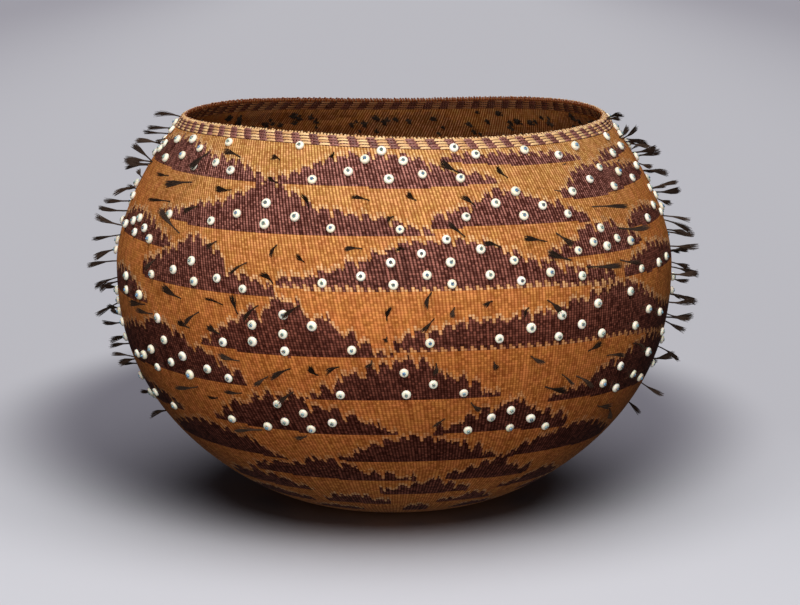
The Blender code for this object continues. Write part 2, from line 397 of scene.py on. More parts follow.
@record
class Finish:
    """What every finish has: a name, how rough it is and how strongly it shines."""

    name: str = "plain"
    roughness: float = 0.5
    shine: float = 0.5

    def start(self) -> tuple[Material, NodeTree, Node]:
        """Begin the material.

        Returns:
            The material, its tree and its shader.
        """
        material = bpy.data.materials.new(self.name)
        material.use_nodes = True
        shader = material.node_tree.nodes["Principled BSDF"]
        feed(material.node_tree, shader, {"Roughness": self.roughness, "Specular IOR Level": self.shine})
        return material, material.node_tree, shader


def attribute(tree: NodeTree, label: str) -> Term:
    """An attribute of the piece, as a number in a material."""
    return Term(tree, add(tree, "ShaderNodeAttribute", attribute_name=label).outputs["Fac"])


def blend(tree: NodeTree, share: object, first: object, second: object, way: str = "MIX") -> NodeSocket:
    """Blend a share of a second colour into a first one, by one of the Mix node's blend modes."""
    feeds = {0: share, 6: first, 7: second}
    return add(tree, "ShaderNodeMix", feeds, data_type="RGBA", blend_type=way).outputs[2]


def fleck(tree: NodeTree, scale: float, detail: float = 2.0, stretch: Sequence[float] = (1, 1, 1)) -> Term:
    """Noise on the piece's own coordinates.

    Args:
        tree: the material's tree.
        scale: how many flecks fit in a metre.
        detail: how many finer layers it has.
        stretch: how the pattern is squeezed along X, Y and Z.

    Returns:
        The noise, around 0.5.
    """
    spot = add(tree, "ShaderNodeTexCoord").outputs["Object"]
    sized = add(tree, "ShaderNodeMapping", {"Vector": spot, "Scale": stretch})
    feeds = {"Vector": sized, "Scale": scale, "Detail": detail}
    return Term(tree, add(tree, "ShaderNodeTexNoise", feeds).outputs[0])


@record
class TwinedRoot(Finish):
    """Split root strands twined over willow warps: satin, golden where plain, plum brown where dyed."""

    name: str = "twined_sedge_root"
    roughness: float = 0.6
    shine: float = 0.14
    # Crown colours carry a painted highlight and valley colours a painted shade, over the root's own plain
    # and dyed colours
    light_ridge_highlight: str = "#F8D69C"
    light_valley_shade: str = "#8A5226"
    highlight_ridge: str = "#FFE2B4"
    dark_ridge_highlight: str = "#CE9086"
    dark_valley_shade: str = "#340A04"
    # This colour and dull are multiplied in for the root's deeper amber, partly its own and partly painted
    # shade, and for painted shade at the sides
    amber: str = "#F0C6AA"
    dull: str = "#BEA698"
    # Multiplied in where the belly is darker and where the inner face takes painted shade
    smoke: str = "#A06C4E"
    dust: str = "#96806E"
    yellow: str = "#FFF3C4"
    pink: str = "#FFDCCB"
    cloud: Numbers = (0.45, 0.40, 0.36, 1)
    # Flecks in a metre: fibres 1.1 mm thick and four times as long, and patches of hue 6 mm across,
    # of dust 33 mm and of cloud 45 mm
    fibre_scale: float = 900
    fibre_stretch: Numbers = (1, 1, 0.25)
    hue_scale: float = 160
    dust_scale: float = 30
    cloud_scale: float = 22
    # The inner face's ribs run aslant and are sharper, and the outer ones flatten where the amber share is
    # high, which is partly the root's deeper amber and partly painted shade at the sides
    inner_twill: float = -0.12
    inner_sharpness: float = 0.8
    amber_flatness: float = 0.3
    amber_power: float = 3.0
    # How bright a stitch is at its ends, and what its middle adds
    end_light: float = 0.52
    swell_light: float = 0.42
    # How much stitches and fibres differ in brightness, and patches in hue
    tone_reach: float = 0.7
    fibre_reach: float = 0.6
    hue_reach: float = 2.5
    tint_share: float = 0.8
    # How narrow the painted highlight on pale crowns and the wear and painted highlight on dark crowns are,
    # and how fast the darkening takes them away
    pale_power: float = 1.4
    highlight_fade: float = 1.8
    rubbed_power: float = 1.5
    wear_and_highlight_fade: float = 1.4
    dust_from: float = 0.55
    dust_slope: float = 6.0
    dust_most: float = 0.45
    bump: float = 0.00013

    def material(self) -> Material:
        """Make the material.

        Returns:
            A material that reads the stitch map and the stitch attributes of the piece.
        """
        material, tree, shader = self.start()
        map_parts = add(tree, "ShaderNodeSeparateXYZ", {0: add(tree, "ShaderNodeUVMap", uv_map="stitch")})
        rib, course = (Term(tree, map_parts.outputs[place]) for place in (0, 1))
        # A stitch rises from the valleys on both sides of its rib, and from its two neighbours along it
        inside = attribute(tree, "inside")
        twill = course * inside * self.inner_twill
        sharpness = inside * self.inner_sharpness + 1.0
        ridge = ((rib + twill) * 2.0).join("PINGPONG", 1.0).join("POWER", sharpness)
        swell = (course * 2.0).join("PINGPONG", 1.0).join("POWER", 0.8)
        tone, amber, pale, age = (attribute(tree, label) for label in ("tone", "amber", "pale", "age"))
        flat = amber.join("POWER", self.amber_power) * inside.less_from(1.0) * self.amber_flatness
        crown = (ridge * flat.less_from(1.0) + flat) * (swell * self.swell_light + self.end_light)
        fibre = fleck(tree, self.fibre_scale, 3.0, self.fibre_stretch)
        cloud = fleck(tree, self.cloud_scale, 3.0)
        hue = fleck(tree, self.hue_scale)
        fibre_light = fibre * self.fibre_reach + (1 - self.fibre_reach / 2)
        # The crown share sets each stitch's colour between the painted shade of its valleys and the painted
        # highlight of its crown
        shown = crown * (tone * self.tone_reach + 1.0) * fibre_light
        # From the shoulder down the plain root is a deeper amber and the dyed root duller, partly their own
        # colour and partly painted shade; at both sides this is painted shade
        light = blend(tree, shown, self.light_valley_shade, self.light_ridge_highlight)
        light = blend(tree, amber, light, self.amber, "MULTIPLY")
        leaning = (hue - 0.5) * self.hue_reach + tone * 0.4 + 0.5
        tint = blend(tree, leaning, self.yellow, self.pink)
        light = blend(tree, self.tint_share, light, tint, "MULTIPLY")
        # Light stitches next to a dark edge take a painted highlight on their crowns, which fades where the
        # wall is darker
        painted_highlight = pale * crown.join("POWER", self.pale_power) * (age * self.highlight_fade).less_from(1.0)
        light = blend(tree, painted_highlight, light, self.highlight_ridge)
        # Dark stitches are lighter on their crowns: partly wear, partly painted highlight, which fades where
        # the wall is darker
        wear_and_highlight = shown.join("POWER", self.rubbed_power) * (age * self.wear_and_highlight_fade).less_from(1.0)
        dark = blend(tree, wear_and_highlight, self.dark_valley_shade, self.dark_ridge_highlight)
        dark = blend(tree, amber, dark, self.dull, "MULTIPLY")
        woven = blend(tree, attribute(tree, "dark"), light, dark)
        # The belly is darker and the inside takes painted shade, most at its left; clouds cover all of the
        # wall, and dust lies on its inner face
        woven_darkened = blend(tree, age, woven, self.smoke, "MULTIPLY")
        clouds = blend(tree, cloud, self.cloud, (1, 1, 1, 1))
        clouded = blend(tree, 0.5, woven_darkened, clouds, "MULTIPLY")
        dusty = (fleck(tree, self.dust_scale) - self.dust_from) * self.dust_slope
        dusted = blend(tree, crown, clouded, self.dust)
        colour = blend(tree, dusty.within(0.0, self.dust_most) * inside, clouded, dusted)
        bump = add(tree, "ShaderNodeBump", {"Height": crown + fibre * 0.12, "Strength": 0.8,
                                            "Distance": self.bump})
        # Only the crowns of the stitches are rubbed enough to shine
        feed(tree, shader, {"Specular IOR Level": crown * self.shine, "Base Color": colour, "Normal": bump})
        return material


@record
class PeeledStrand(Finish):
    """Wider split strands, satin, with their grain along them, for the rim and the checked band."""

    name: str = "split_root_binding"
    roughness: float = 0.45
    shine: float = 0.35
    pale: str = "#F6D6A2"
    gold: str = "#B87A46"
    dyed: str = "#A06A62"
    dyed_deep: str = "#451B18"
    # Multiplied in as painted shade where a strand looks inwards
    stain: str = "#86502C"
    # Grain 1.4 mm long, squeezed along Z
    grain_scale: float = 700
    grain_stretch: Numbers = (1, 1, 2.5)
    bump: float = 0.0001

    def material(self) -> Material:
        """Make the material.

        Returns:
            A material that reads each strand's dark and tone, and takes a painted shade where it faces
            inwards.
        """
        material, tree, shader = self.start()
        tone = attribute(tree, "tone") * 0.5 + 0.5
        grain = fleck(tree, self.grain_scale, 2.0, self.grain_stretch)
        share = tone * 0.5 + grain * 0.5
        plain = blend(tree, share, self.gold, self.pale)
        dyed = blend(tree, share, self.dyed_deep, self.dyed)
        colour = blend(tree, attribute(tree, "dark"), plain, dyed)
        # Faces that look inwards take a painted shade
        inward_shaded = blend(tree, attribute(tree, "inside"), colour, self.stain, "MULTIPLY")
        bump = add(tree, "ShaderNodeBump", {"Height": grain, "Distance": self.bump, "Strength": 0.5})
        feed(tree, shader, {"Base Color": inward_shaded, "Normal": bump})
        return material


@record
class ClamShell(Finish):
    """Clam shell discs ground round and polished: ivory, with growth lines and a soft glow."""

    name: str = "ground_clam_shell"
    roughness: float = 0.32
    shine: float = 0.5
    ivory: str = "#FBF8EC"
    cream: str = "#E8DFC4"
    # Growth lines 1 mm apart: a wave is 0.314 m long at a scale of 1
    line_scale: float = 320.0
    glow_depth: float = 0.001

    def material(self) -> Material:
        """Make the material.

        Returns:
            A material with growth lines, and a tint from each disc's tone attribute.
        """
        material, tree, shader = self.start()
        spot = add(tree, "ShaderNodeTexCoord").outputs["Object"]
        lines = add(tree, "ShaderNodeTexWave", {"Vector": spot, "Scale": self.line_scale, "Detail": 2.0,
                                                "Distortion": 3.0})
        share = Term(tree, lines.outputs["Fac"]) * 0.3 + attribute(tree, "tone") * 0.35 + 0.15
        colour = blend(tree, share, self.ivory, self.cream)
        feed(tree, shader, {"Base Color": colour, "Subsurface Weight": 0.15,
                            "Subsurface Scale": self.glow_depth})
        return material


@record
class TradeGlass(Finish):
    """Drawn glass seed beads: glossy, in greyed blues and greens that differ from bead to bead."""

    name: str = "drawn_seed_glass"
    roughness: float = 0.2
    shine: float = 0.5
    blue: str = "#5489B8"
    teal: str = "#809C9A"
    grey: str = "#485E72"
    coat: float = 0.6
    coat_roughness: float = 0.08

    def material(self) -> Material:
        """Make the material.

        Returns:
            A glossy material that takes each bead's tint from its tone attribute.
        """
        material, tree, shader = self.start()
        tone = attribute(tree, "tone")
        cool = blend(tree, tone.join("MAXIMUM", 0.0), self.teal, self.blue)
        colour = blend(tree, (tone * -1.0).join("MAXIMUM", 0.0), cool, self.grey)
        feed(tree, shader, {"Base Color": colour, "Coat Weight": self.coat,
                            "Coat Roughness": self.coat_roughness})
        return material


@record
class QuailPlume(Finish):
    """Topknot plumes of quail: soft barbs, brown black, greyer where the light catches their edges."""

    name: str = "quail_topknot_barbs"
    roughness: float = 0.75
    shine: float = 0.12
    deep: str = "#1D1410"
    edge: str = "#544339"
    # Flecks 3.8 mm across
    fleck_scale: float = 260

    def material(self) -> Material:
        """Make the material.

        Returns:
            A soft material with hardly any shine.
        """
        material, tree, shader = self.start()
        share = fleck(tree, self.fleck_scale, 3.0) * (attribute(tree, "tone") * 0.4 + 0.6)
        feed(tree, shader, {"Base Color": blend(tree, share, self.deep, self.edge)})
        return material


@record
class PlantCord(Finish):
    """Sewing thread of twisted plant fibre: dull, buff brown."""

    name: str = "twisted_plant_cord"
    roughness: float = 0.8
    shine: float = 0.2
    buff: str = "#A08A66"
    brown: str = "#5B4530"
    # The twist's light and dark are 0.8 mm long
    twist_scale: float = 1200

    def material(self) -> Material:
        """Make the material.

        Returns:
            A dull material, light and dark along its twist.
        """
        material, tree, shader = self.start()
        share = fleck(tree, self.twist_scale)
        feed(tree, shader, {"Base Color": blend(tree, share, self.brown, self.buff)})
        return material


@record
class StudioPaper(Finish):
    """Plain pale paper on the floor, with painted shade: a little darker beyond the object and far out to the
    sides, and a painted soft shadow behind the basket.
    """

    name: str = "studio_paper"
    roughness: float = 0.9
    shine: float = 0.0
    # From near to far, and far out to the sides, the paper takes painted shade
    near: str = "#D0D0D6"
    far: str = "#B9B8BE"
    near_line: float = -0.30
    far_line: float = 0.25
    edge: str = "#DAD8DC"
    far_side_shade_widths: Span = (0.6, 2.0)
    # A painted soft shadow behind the basket, where the front lamp's own shadow would fall
    shade: str = "#A09EA4"
    shade_middle: Span = (-0.02, 0.27)
    shade_depth: float = 0.79
    shade_radii: Span = (0.235, 0.350)

    def material(self) -> Material:
        """Make the material.

        Returns:
            A dull material that shades away from the viewer and behind the basket, where the front lamp's own
            soft shadow would lie.
        """
        material, tree, shader = self.start()
        spot = add(tree, "ShaderNodeSeparateXYZ", {0: add(tree, "ShaderNodeTexCoord").outputs["Object"]})
        across, along = Term(tree, spot.outputs["X"]), Term(tree, spot.outputs["Y"])
        aside, beyond = across - self.shade_middle[0], (along - self.shade_middle[1]) * self.shade_depth
        reach = (aside * aside + beyond * beyond).join("SQRT")
        spans = ((along, self.near_line, self.far_line), (across.join("ABSOLUTE"), *self.far_side_shade_widths),
                 (reach, *self.shade_radii))
        behind, wide, clear = (soft_step(tree, *span) for span in spans)
        paper = blend(tree, behind, self.near, self.far)
        paper = blend(tree, wide, paper, self.edge, "MULTIPLY")
        shaded = blend(tree, 1.0, paper, self.shade, "MULTIPLY")
        feed(tree, shader, {"Base Color": blend(tree, clear, shaded, paper)})
        return material


def soft_step(tree: NodeTree, value: Term, first: float, last: float) -> Term:
    """A number that runs softly from 0 to 1 as another one runs from a first value to a last."""
    feeds = {"Value": value, "From Min": first, "From Max": last}
    return Term(tree, add(tree, "ShaderNodeMapRange", feeds, interpolation_type="SMOOTHSTEP").outputs[0])


def keep(mesh: Mesh, label: str, values: Array, domain: str = "FACE") -> None:
    """Keep one number for each element of a mesh, as a named attribute."""
    layer = mesh.attributes.get(label) or mesh.attributes.new(label, "FLOAT", domain)
    layer.data.foreach_set("value", np.ascontiguousarray(values, np.float32))


def kept(mesh: Mesh, label: str) -> Array:
    """The numbers of an attribute, one for each element."""
    return read(mesh.attributes[label].data, "value")


def corner_map(mesh: Mesh, label: str) -> Array:
    """The places of every face corner on a map, one pair for each corner."""
    return read(mesh.attributes[label].data, "vector", 2)


def face_means(mesh: Mesh, values: Array) -> Array:
    """Mean over each face of the rows that its corners hold."""
    starts, counts = (read(mesh.polygons, label, kind=np.int32) for label in ("loop_start", "loop_total"))
    return np.add.reduceat(values, starts, axis=0) / counts[:, None]


def mark_inward(mesh: Mesh, most: float = 1.0, slope: float = 3, base: float = 0.6) -> None:
    """Keep how much each face looks in towards the basket's axis, which the strand material darkens as
    painted shade.

    Args:
        mesh: the mesh.
        most: what a face gets that looks straight in.
        slope: how fast the value grows as a face turns inwards.
        base: the value of a face that looks sideways.
    """
    looks, spots = (read(mesh.polygons, label, 3)[:, :2] for label in ("normal", "center"))
    inward = -np.sum(looks * spots, axis=1) / np.linalg.norm(spots, axis=1)
    keep(mesh, "inside", most * np.clip(inward * slope + base, 0, 1))


def hand_on(piece: Object, nodes: Iterable[str]) -> None:
    """Fix a finished piece to the basket and log it.

    Args:
        piece: the piece.
        nodes: the CAD nodes that it stands for.
    """
    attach(piece, "root")
    nodes = list(nodes)
    if nodes:
        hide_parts(*nodes)
    LOG.info("%s: %d faces, stands for %s", piece.name, len(piece.data.polygons),
             ", ".join(nodes) or "nothing")


# Where the wall rises to the uneven mouth: the middle azimuth, its reach and how far what is worked there
# slips, which fades away down the wall
SLIPS = ((56, 24, 3.6), (-45, 16, 1.7))
SLIP_FADE = 70


def slip(azimuths: Array, drops: Array) -> Array:
    """How many millimetres lower figures, beads and plumes lie than their readings, near the mouth.

    Args:
        azimuths: in degrees, of one half of the basket.
        drops: in millimetres.

    Returns:
        The slip of each.
    """
    bumps = sum(most * np.exp(-((azimuths - middle) / width) ** 2) for middle, width, most in SLIPS)
    return bumps * np.exp(-(drops / SLIP_FADE) ** 2)


@record
class Motif:
    """One stepped dark figure: its top and base lines, as azimuth in degrees and drop in millimetres."""

    top: Spots
    base: Spots
    toothed: bool = False


FIGURES = (
    Motif(((-84, 30), (-78, 20), (-68, 15), (-58, 15), (-52, 18), (-50, 22), (-45, 24), (-42, 25),
          (-38, 27), (-36, 29), (-34, 31), (-31, 35), (-28, 37), (-25, 38)), ((-84, 36), (-68, 38),
          (-50, 39), (-40, 40), (-24, 40))),
    Motif(((-29, 37), (-24, 35), (-22, 31), (-20, 29), (-19, 26), (-17, 24), (-15, 21), (-13, 19),
          (-11, 17), (-8, 16), (4, 16), (5, 18), (7.5, 20), (8.5, 24), (11, 25), (14, 28), (17, 29),
          (19, 30), (22, 34), (24, 37)), ((-29, 40), (5, 40), (10, 39), (15, 38), (24, 37.5))),
    Motif(((11, 17), (14, 15), (30, 14), (40, 15), (46, 17), (50, 22)), ((11, 20), (15, 21), (25, 23),
          (30, 24), (40, 23), (50, 22.5))),
    Motif(((56, 26), (60, 20), (66, 19), (74, 22), (80, 26)), ((56, 27), (66, 27), (80, 27))),
    Motif(((38, 48), (40, 43), (42, 38), (45, 31), (48, 28), (55, 27), (60, 30), (65, 33), (72, 35),
          (80, 44)), ((38, 51), (45, 52), (50, 52), (55, 51), (65, 49), (80, 48))),
    Motif(((-58, 69), (-55, 67), (-50, 65), (-46, 61), (-42, 57), (-38, 57), (-37, 52), (-34, 49),
          (-31.5, 45), (-31, 41), (-27, 39), (-25, 41), (-24, 45), (-20.5, 47), (-19, 52), (-17, 55),
          (-15, 57), (-10, 59), (-7, 60), (-4, 61), (-1, 63), (1, 65), (3, 67), (5, 69), (8, 70)),
          ((-58, 70), (-50, 72.5), (-45, 74), (-40, 75), (-10, 74.5), (0, 73.5), (8, 73))),
    Motif(((7.5, 61), (10, 59), (12, 59), (13, 53), (15, 55), (17, 52), (18, 50), (20, 45), (22, 43),
          (23, 41), (25, 45), (30, 46), (31, 51), (33, 52), (35, 56), (37, 52), (38, 59), (42, 61),
          (44, 67)), ((7, 69.5), (10, 68.5), (15, 67.5), (20, 67), (30, 68), (40, 68.5), (44, 69))),
    Motif(((-84, 84), (-74, 74), (-68, 72), (-62, 74), (-58, 78), (-55, 82), (-53, 85), (-50, 88)),
          ((-84, 90), (-68, 91), (-60, 92.5), (-55, 93), (-50, 91))),
    Motif(((56, 76), (60, 68), (68, 67), (76, 72), (82, 78)), ((56, 79), (68, 80), (82, 80))),
    Motif(((31, 87), (34, 86), (37, 84), (39, 80), (40, 76), (42, 72), (47, 73), (48, 71), (51, 73),
          (53, 77), (55, 80), (58, 84), (60, 88)), ((31, 92), (35, 93), (50, 93), (55, 92), (60, 90))),
    Motif(((-59, 105), (-55, 100), (-53, 97), (-50, 93), (-47.5, 90), (-45, 83), (-42, 82.5),
          (-40.5, 84), (-38, 88), (-35, 92), (-34, 97), (-33.5, 103), (-30, 104), (-27, 106), (-25, 108),
          (-22.5, 112)), ((-59, 114), (-50, 115), (-40, 116), (-25, 116), (-22.5, 115))),
    Motif(((-22.5, 103), (-18, 103), (-15, 100), (-12, 97), (-10, 96), (-9, 92), (-6, 92), (-4.5, 88),
          (-4, 86), (-1, 84), (0, 82), (2, 79), (3, 77.5), (9, 77), (15, 78), (19, 79), (21, 82), (21.5, 87),
          (24, 86), (26, 92), (28, 91), (29, 95), (32, 92), (33, 100), (37, 100), (43, 101), (46, 104),
          (48, 107)), ((-22.5, 110), (30, 110), (35, 112), (40, 113), (45, 114), (48, 114)), True),
    Motif(((51, 107), (55, 99), (58, 98), (62, 93), (72, 96), (84, 106)), ((51, 111), (60, 112),
          (84, 111))),
    Motif(((-84, 124), (-72, 114), (-66, 116), (-62, 122), (-57, 130)), ((-84, 133), (-66, 133),
          (-57, 133))),
    Motif(((-40, 150), (-38, 149), (-36, 143), (-34, 138), (-32, 135), (-30.5, 133), (-29, 129),
          (-28, 126), (-27, 125), (-25.5, 130), (-24, 122), (-22.5, 117), (-22, 115), (-21, 117), (-20, 120),
          (-18, 118), (-17.5, 121), (-17, 127), (-15, 130), (-13, 127), (-12, 128), (-11.5, 133), (-10, 136),
          (-9, 139), (-7, 136), (-6.5, 142), (-6, 145), (-4.5, 143), (-3.5, 150), (0, 151.5)), ((-40, 153),
          (-30, 154), (-25, 155), (-20, 155), (-15, 154), (-10, 153), (0, 152.5))),
    Motif(((0, 140), (1.5, 142), (2.5, 138), (5.5, 137), (6.5, 138), (8, 135), (9, 136), (10, 132),
          (12, 133), (14, 130), (16, 131), (19, 129), (21, 131), (23, 130), (25, 127), (27, 129), (29, 126),
          (31, 129), (32, 126), (34, 125), (36, 122), (37, 120), (39, 123), (41, 118), (43, 118), (45, 116),
          (46, 119), (48, 113), (50, 115), (53, 114), (55, 118), (57, 121), (60, 125), (63, 130), (68, 137),
          (84, 146)), ((0, 150), (25, 150), (30, 151), (50, 151.5), (60, 155), (68, 159), (84, 162)), True),
    Motif(((-84, 166), (-74, 158), (-66, 150), (-60, 150), (-56, 143), (-52, 141), (-50, 145),
          (-49, 148), (-45, 150), (-44, 157), (-42, 157), (-40, 155), (-39, 160), (-37, 162), (-35, 167),
          (-33, 170), (-31, 169), (-30, 176)), ((-84, 178), (-66, 180), (-50, 178), (-30, 178.5))),
    Motif(((-17.5, 183), (-16, 181), (-15, 183), (-14, 175), (-13, 175), (-12.5, 178), (-11.5, 177),
          (-11, 170), (-10, 167), (-9, 168), (-8, 163), (-7, 164), (-6.5, 168), (-5.5, 168), (-5, 160),
          (-4, 160), (-3, 163), (-2.5, 158), (0, 158), (1, 156), (2, 154), (3, 154), (4, 158), (5.5, 156),
          (7, 157), (7.5, 160), (8, 165), (9.5, 163), (10.5, 168), (11, 170), (12, 168), (13.5, 167),
          (14.5, 173), (17, 173), (17.5, 178), (18.5, 181), (20, 179), (21.5, 183)), ((-17.5, 185),
          (-10, 184), (10, 183.5), (21.5, 184))),
    Motif(((33, 191), (35, 187), (39, 185), (41, 184), (43, 183), (44, 180), (44.5, 176), (45.5, 172),
          (47, 176), (47.5, 170), (50, 168), (51, 172), (53, 168), (54.5, 165), (57, 163), (60, 160),
          (64, 158), (72, 162), (84, 176)), ((33, 193), (38, 193.5), (45, 194), (55, 196), (68, 198),
          (84, 196))),
    Motif(((-42, 208), (-39, 205), (-38.5, 200), (-37, 198), (-35.5, 197), (-35, 193), (-34, 190),
          (-32, 195), (-31, 193), (-30.5, 188), (-29, 186), (-27.5, 188), (-26.5, 183), (-25.5, 181),
          (-25, 185), (-22, 186), (-21, 182), (-20.5, 180), (-18, 186), (-17, 193), (-15.5, 190), (-13, 193),
          (-12, 191), (-10.5, 194), (-10, 200), (-8, 196), (-7, 198), (-6, 204), (-4, 202), (-3, 203),
          (-2.5, 209), (0, 209), (1, 211)), ((-42, 211), (-35, 211.5), (-28, 213), (-20, 213), (-5, 212),
          (1, 212))),
    Motif(((8.5, 207), (9.5, 205), (11, 209), (12, 206), (13, 206), (14, 203), (15.5, 198),
          (17.5, 200), (18, 193), (19, 192), (21.5, 196), (22, 190), (23.5, 188), (24.5, 190), (26, 186),
          (27, 190), (28, 196), (30, 193), (31, 200), (33, 200), (34, 198), (36, 205), (38, 203), (40, 208),
          (41, 214)), ((8.5, 213), (20, 212.5), (25, 213), (30, 214), (35, 216), (41, 217))),
    Motif(((-84, 200), (-74, 196), (-64, 198), (-58, 202), (-53, 208)), ((-84, 212), (-64, 212),
          (-53, 211))),
    Motif(((-13, 236), (-10, 233), (-9.5, 238), (-9, 231), (-8.5, 226), (-6.5, 230), (-5.5, 222),
          (-4, 221), (-3, 223), (-2, 218), (0, 217), (1, 219), (2, 215), (8, 215), (10, 219), (11, 216),
          (13, 221), (16, 222), (17, 228), (18, 229), (19, 224), (20, 226), (21, 232), (22, 236), (23, 232),
          (25, 238)), ((-13, 239.5), (25, 239.5))),
    Motif(((-66, 230), (-58, 222), (-50, 216), (-45, 216), (-42, 219), (-38, 222), (-37, 227),
          (-35, 224), (-33, 228), (-32.5, 234), (-30, 236), (-29, 240), (-26, 242)), ((-66, 240), (-50, 241),
          (-40, 241), (-30, 243), (-26, 244))),
    Motif(((28, 240), (30, 232), (31, 227), (34, 229), (34.5, 223), (36, 222), (38, 225), (39, 219),
          (41, 220), (45, 216), (50, 218), (58, 226), (66, 236)), ((28, 241), (35, 241), (45, 242),
          (66, 243))),
    Motif(((-39, 256), (-37.5, 252), (-36, 254), (-34.5, 250), (-33, 253), (-31, 249), (-29, 246),
          (-27.5, 250), (-25.5, 246), (-22.5, 247), (-21, 241), (-19, 238), (-18, 242), (-14, 238),
          (-13, 245), (-10.5, 243), (-9, 247), (-8.5, 254), (-6, 254), (-5, 250), (-4, 256), (-3, 258),
          (-1.5, 254), (1, 257), (1.5, 262), (4, 258), (5, 256), (6, 263)), ((-39, 262), (-20, 263.5),
          (6, 264))),
    Motif(((13.5, 262), (14, 255), (15.5, 253), (17, 256), (18, 251), (19.5, 248), (21, 252),
          (22, 245), (23.5, 243), (24.5, 246), (25.5, 240), (27, 238), (28.5, 243), (29.5, 250), (30.5, 253),
          (32, 250), (34, 257), (35, 260), (36.5, 256), (37.5, 253), (39, 262)), ((12, 263), (20, 265),
          (30, 267), (39, 267))),
    Motif(((-4, 274), (-2, 277), (0, 280), (0.5, 273), (2, 270), (5, 272), (6, 267), (8, 268),
          (10, 264), (11, 260), (12, 262), (13, 268), (14, 272), (15.5, 267), (17, 270), (18, 276),
          (22, 274), (23, 284)), ((-7, 284), (0, 285.5), (10, 286), (18, 284), (23, 285))),
    Motif(((-56, 276), (-50, 268), (-44, 270), (-43, 262), (-41, 260), (-39, 270), (-36, 266),
          (-34, 270), (-30, 276), (-29, 281), (-27, 278), (-24.5, 285)), ((-56, 284), (-40, 285),
          (-24, 286))),
    Motif(((34, 282), (40, 277), (45, 265), (50, 266), (55, 274), (60, 282)), ((34, 286), (60, 286))),
    Motif(((-24, 300), (-21, 297), (-20, 290), (-18, 289), (-15, 294), (-14, 288), (-8, 289),
          (-7, 297), (-4, 296), (-1.5, 296), (-1, 302)), ((-25, 305), (-10, 306), (-1, 306))),
    Motif(((15, 300), (17, 297), (21, 298), (23, 296), (24, 290), (26, 289), (28, 292), (30, 290),
          (32, 297), (36, 302)), ((15, 304), (36, 306))),
    Motif(((-60, 300), (-52, 295), (-44, 293), (-38, 298), (-30, 304)), ((-60, 308), (-44, 311),
          (-30, 310))),
    Motif(((48, 300), (54, 290), (62, 291), (70, 301)), ((48, 305), (70, 305))),
    Motif(((4, 318), (6, 308), (10, 307), (14, 316)), ((4, 326), (14, 327))),
    Motif(((-34, 322), (-26, 316), (-18, 317), (-12, 322)), ((-34, 326), (-12, 326))),
    Motif(((24, 322), (30, 314), (38, 314), (46, 321)), ((24, 326), (46, 326))),
    Motif(((60, 322), (68, 314), (76, 314), (84, 321)), ((60, 326), (84, 326))),
    Motif(((-80, 322), (-70, 314), (-62, 314), (-52, 321)), ((-80, 326), (-52, 326))),
)


@record
class Pattern:
    """The dark figures that the twining lays on both halves of the wall, in millimetres of drop."""

    step: Numbers = (
        -2.2, -2.2, -1.0, 2.2, -1.0, -1.0, -0.2, 2.8, -1.8, -1.8, 0.6, 1.6, -0.4, -1.4, -1.2, 3.0)
    tooth: Numbers = (3.8, 2.4, 0.0)
    # How far above a dark edge the light stitches take a painted highlight
    highlight_reach: float = 3.0
    mixed_reach: float = 1.0
    motifs: tuple[Motif, ...] = FIGURES

    def stitches(self, azimuths: Array, drops: Array, ribs: Array, draws: Array
                 ) -> tuple[Array, Array]:
        """Which stitches are dark, and which light ones take a painted highlight next to a dark edge.

        Args:
            azimuths: in degrees.
            drops: in millimetres.
            ribs: the number of each stitch's rib.
            draws: a random draw from -1 to 1 for each stitch.

        Returns:
            A 0 to 1 value for dark, and one for the painted highlight.
        """
        half = (azimuths + 90) % 180 - 90
        drops = drops - slip(half, drops)
        dark, pale = np.zeros(len(half), bool), np.zeros(len(half), bool)
        step = np.take(self.step, ribs % len(self.step)) + self.mixed_reach * draws
        tooth = np.take(self.tooth, ribs % len(self.tooth))
        for motif in self.motifs:
            tops, bases = np.array(motif.top), np.array(motif.base)
            inside = (half >= tops[0, 0]) & (half <= tops[-1, 0])
            top = np.interp(half, tops[:, 0], tops[:, 1]) + step
            base = np.interp(half, bases[:, 0], bases[:, 1])
            bare = base - (tooth if motif.toothed else 0)
            dark |= inside & (drops >= top) & (drops <= bare)
            near = (drops > top - self.highlight_reach) & (drops < top) | (drops > bare) & (drops < base)
            pale |= inside & near & (drops < base)
        return dark.astype(float), (pale & ~dark).astype(float)


@record
class Drift:
    """How ribs lean and courses wave on every ring, in degrees and metres."""

    # The ribs lean to the right on their way down, by up to twice the lean a metre, at the left of each half
    lean: float = 39.0
    lean_turn: float = 40.0
    # The level that they lean about, and how far above and below it they do
    level: float = 0.110
    reach: Span = (-0.100, 0.140)
    # Above that level they also turn to the left, more and more
    neck_lean: float = -111.0
    neck_power: float = 1.5
    # The courses rise and sag four times round the wall, but not at its rim or under its foot
    wave: float = 0.0011
    wave_turn: float = 35.0
    fades: Spots = ((0.012, 0.040), (0.340, 0.290))

    def place(self, start: Term, level: Term) -> tuple[Term, Term]:
        """Where a point of a level, upright weave lies on the real wall.

        Args:
            start: its azimuth on the level weave.
            level: its drop there.

        Returns:
            Its azimuth and drop.
        """
        lean = ((start + self.lean_turn) * (math.pi / 90)).join("COSINE") * self.lean + self.lean
        above = level.less_from(self.level).join("MAXIMUM", 0.0).join("POWER", self.neck_power)
        azimuth = start + lean * (level - self.level).within(*self.reach) + above * self.neck_lean
        wave = ((azimuth + self.wave_turn) * (math.pi / 45)).join("COSINE") * self.wave
        for fade in self.fades:
            wave = wave * soft_step(level.tree, level, *fade)
        return azimuth, level + wave


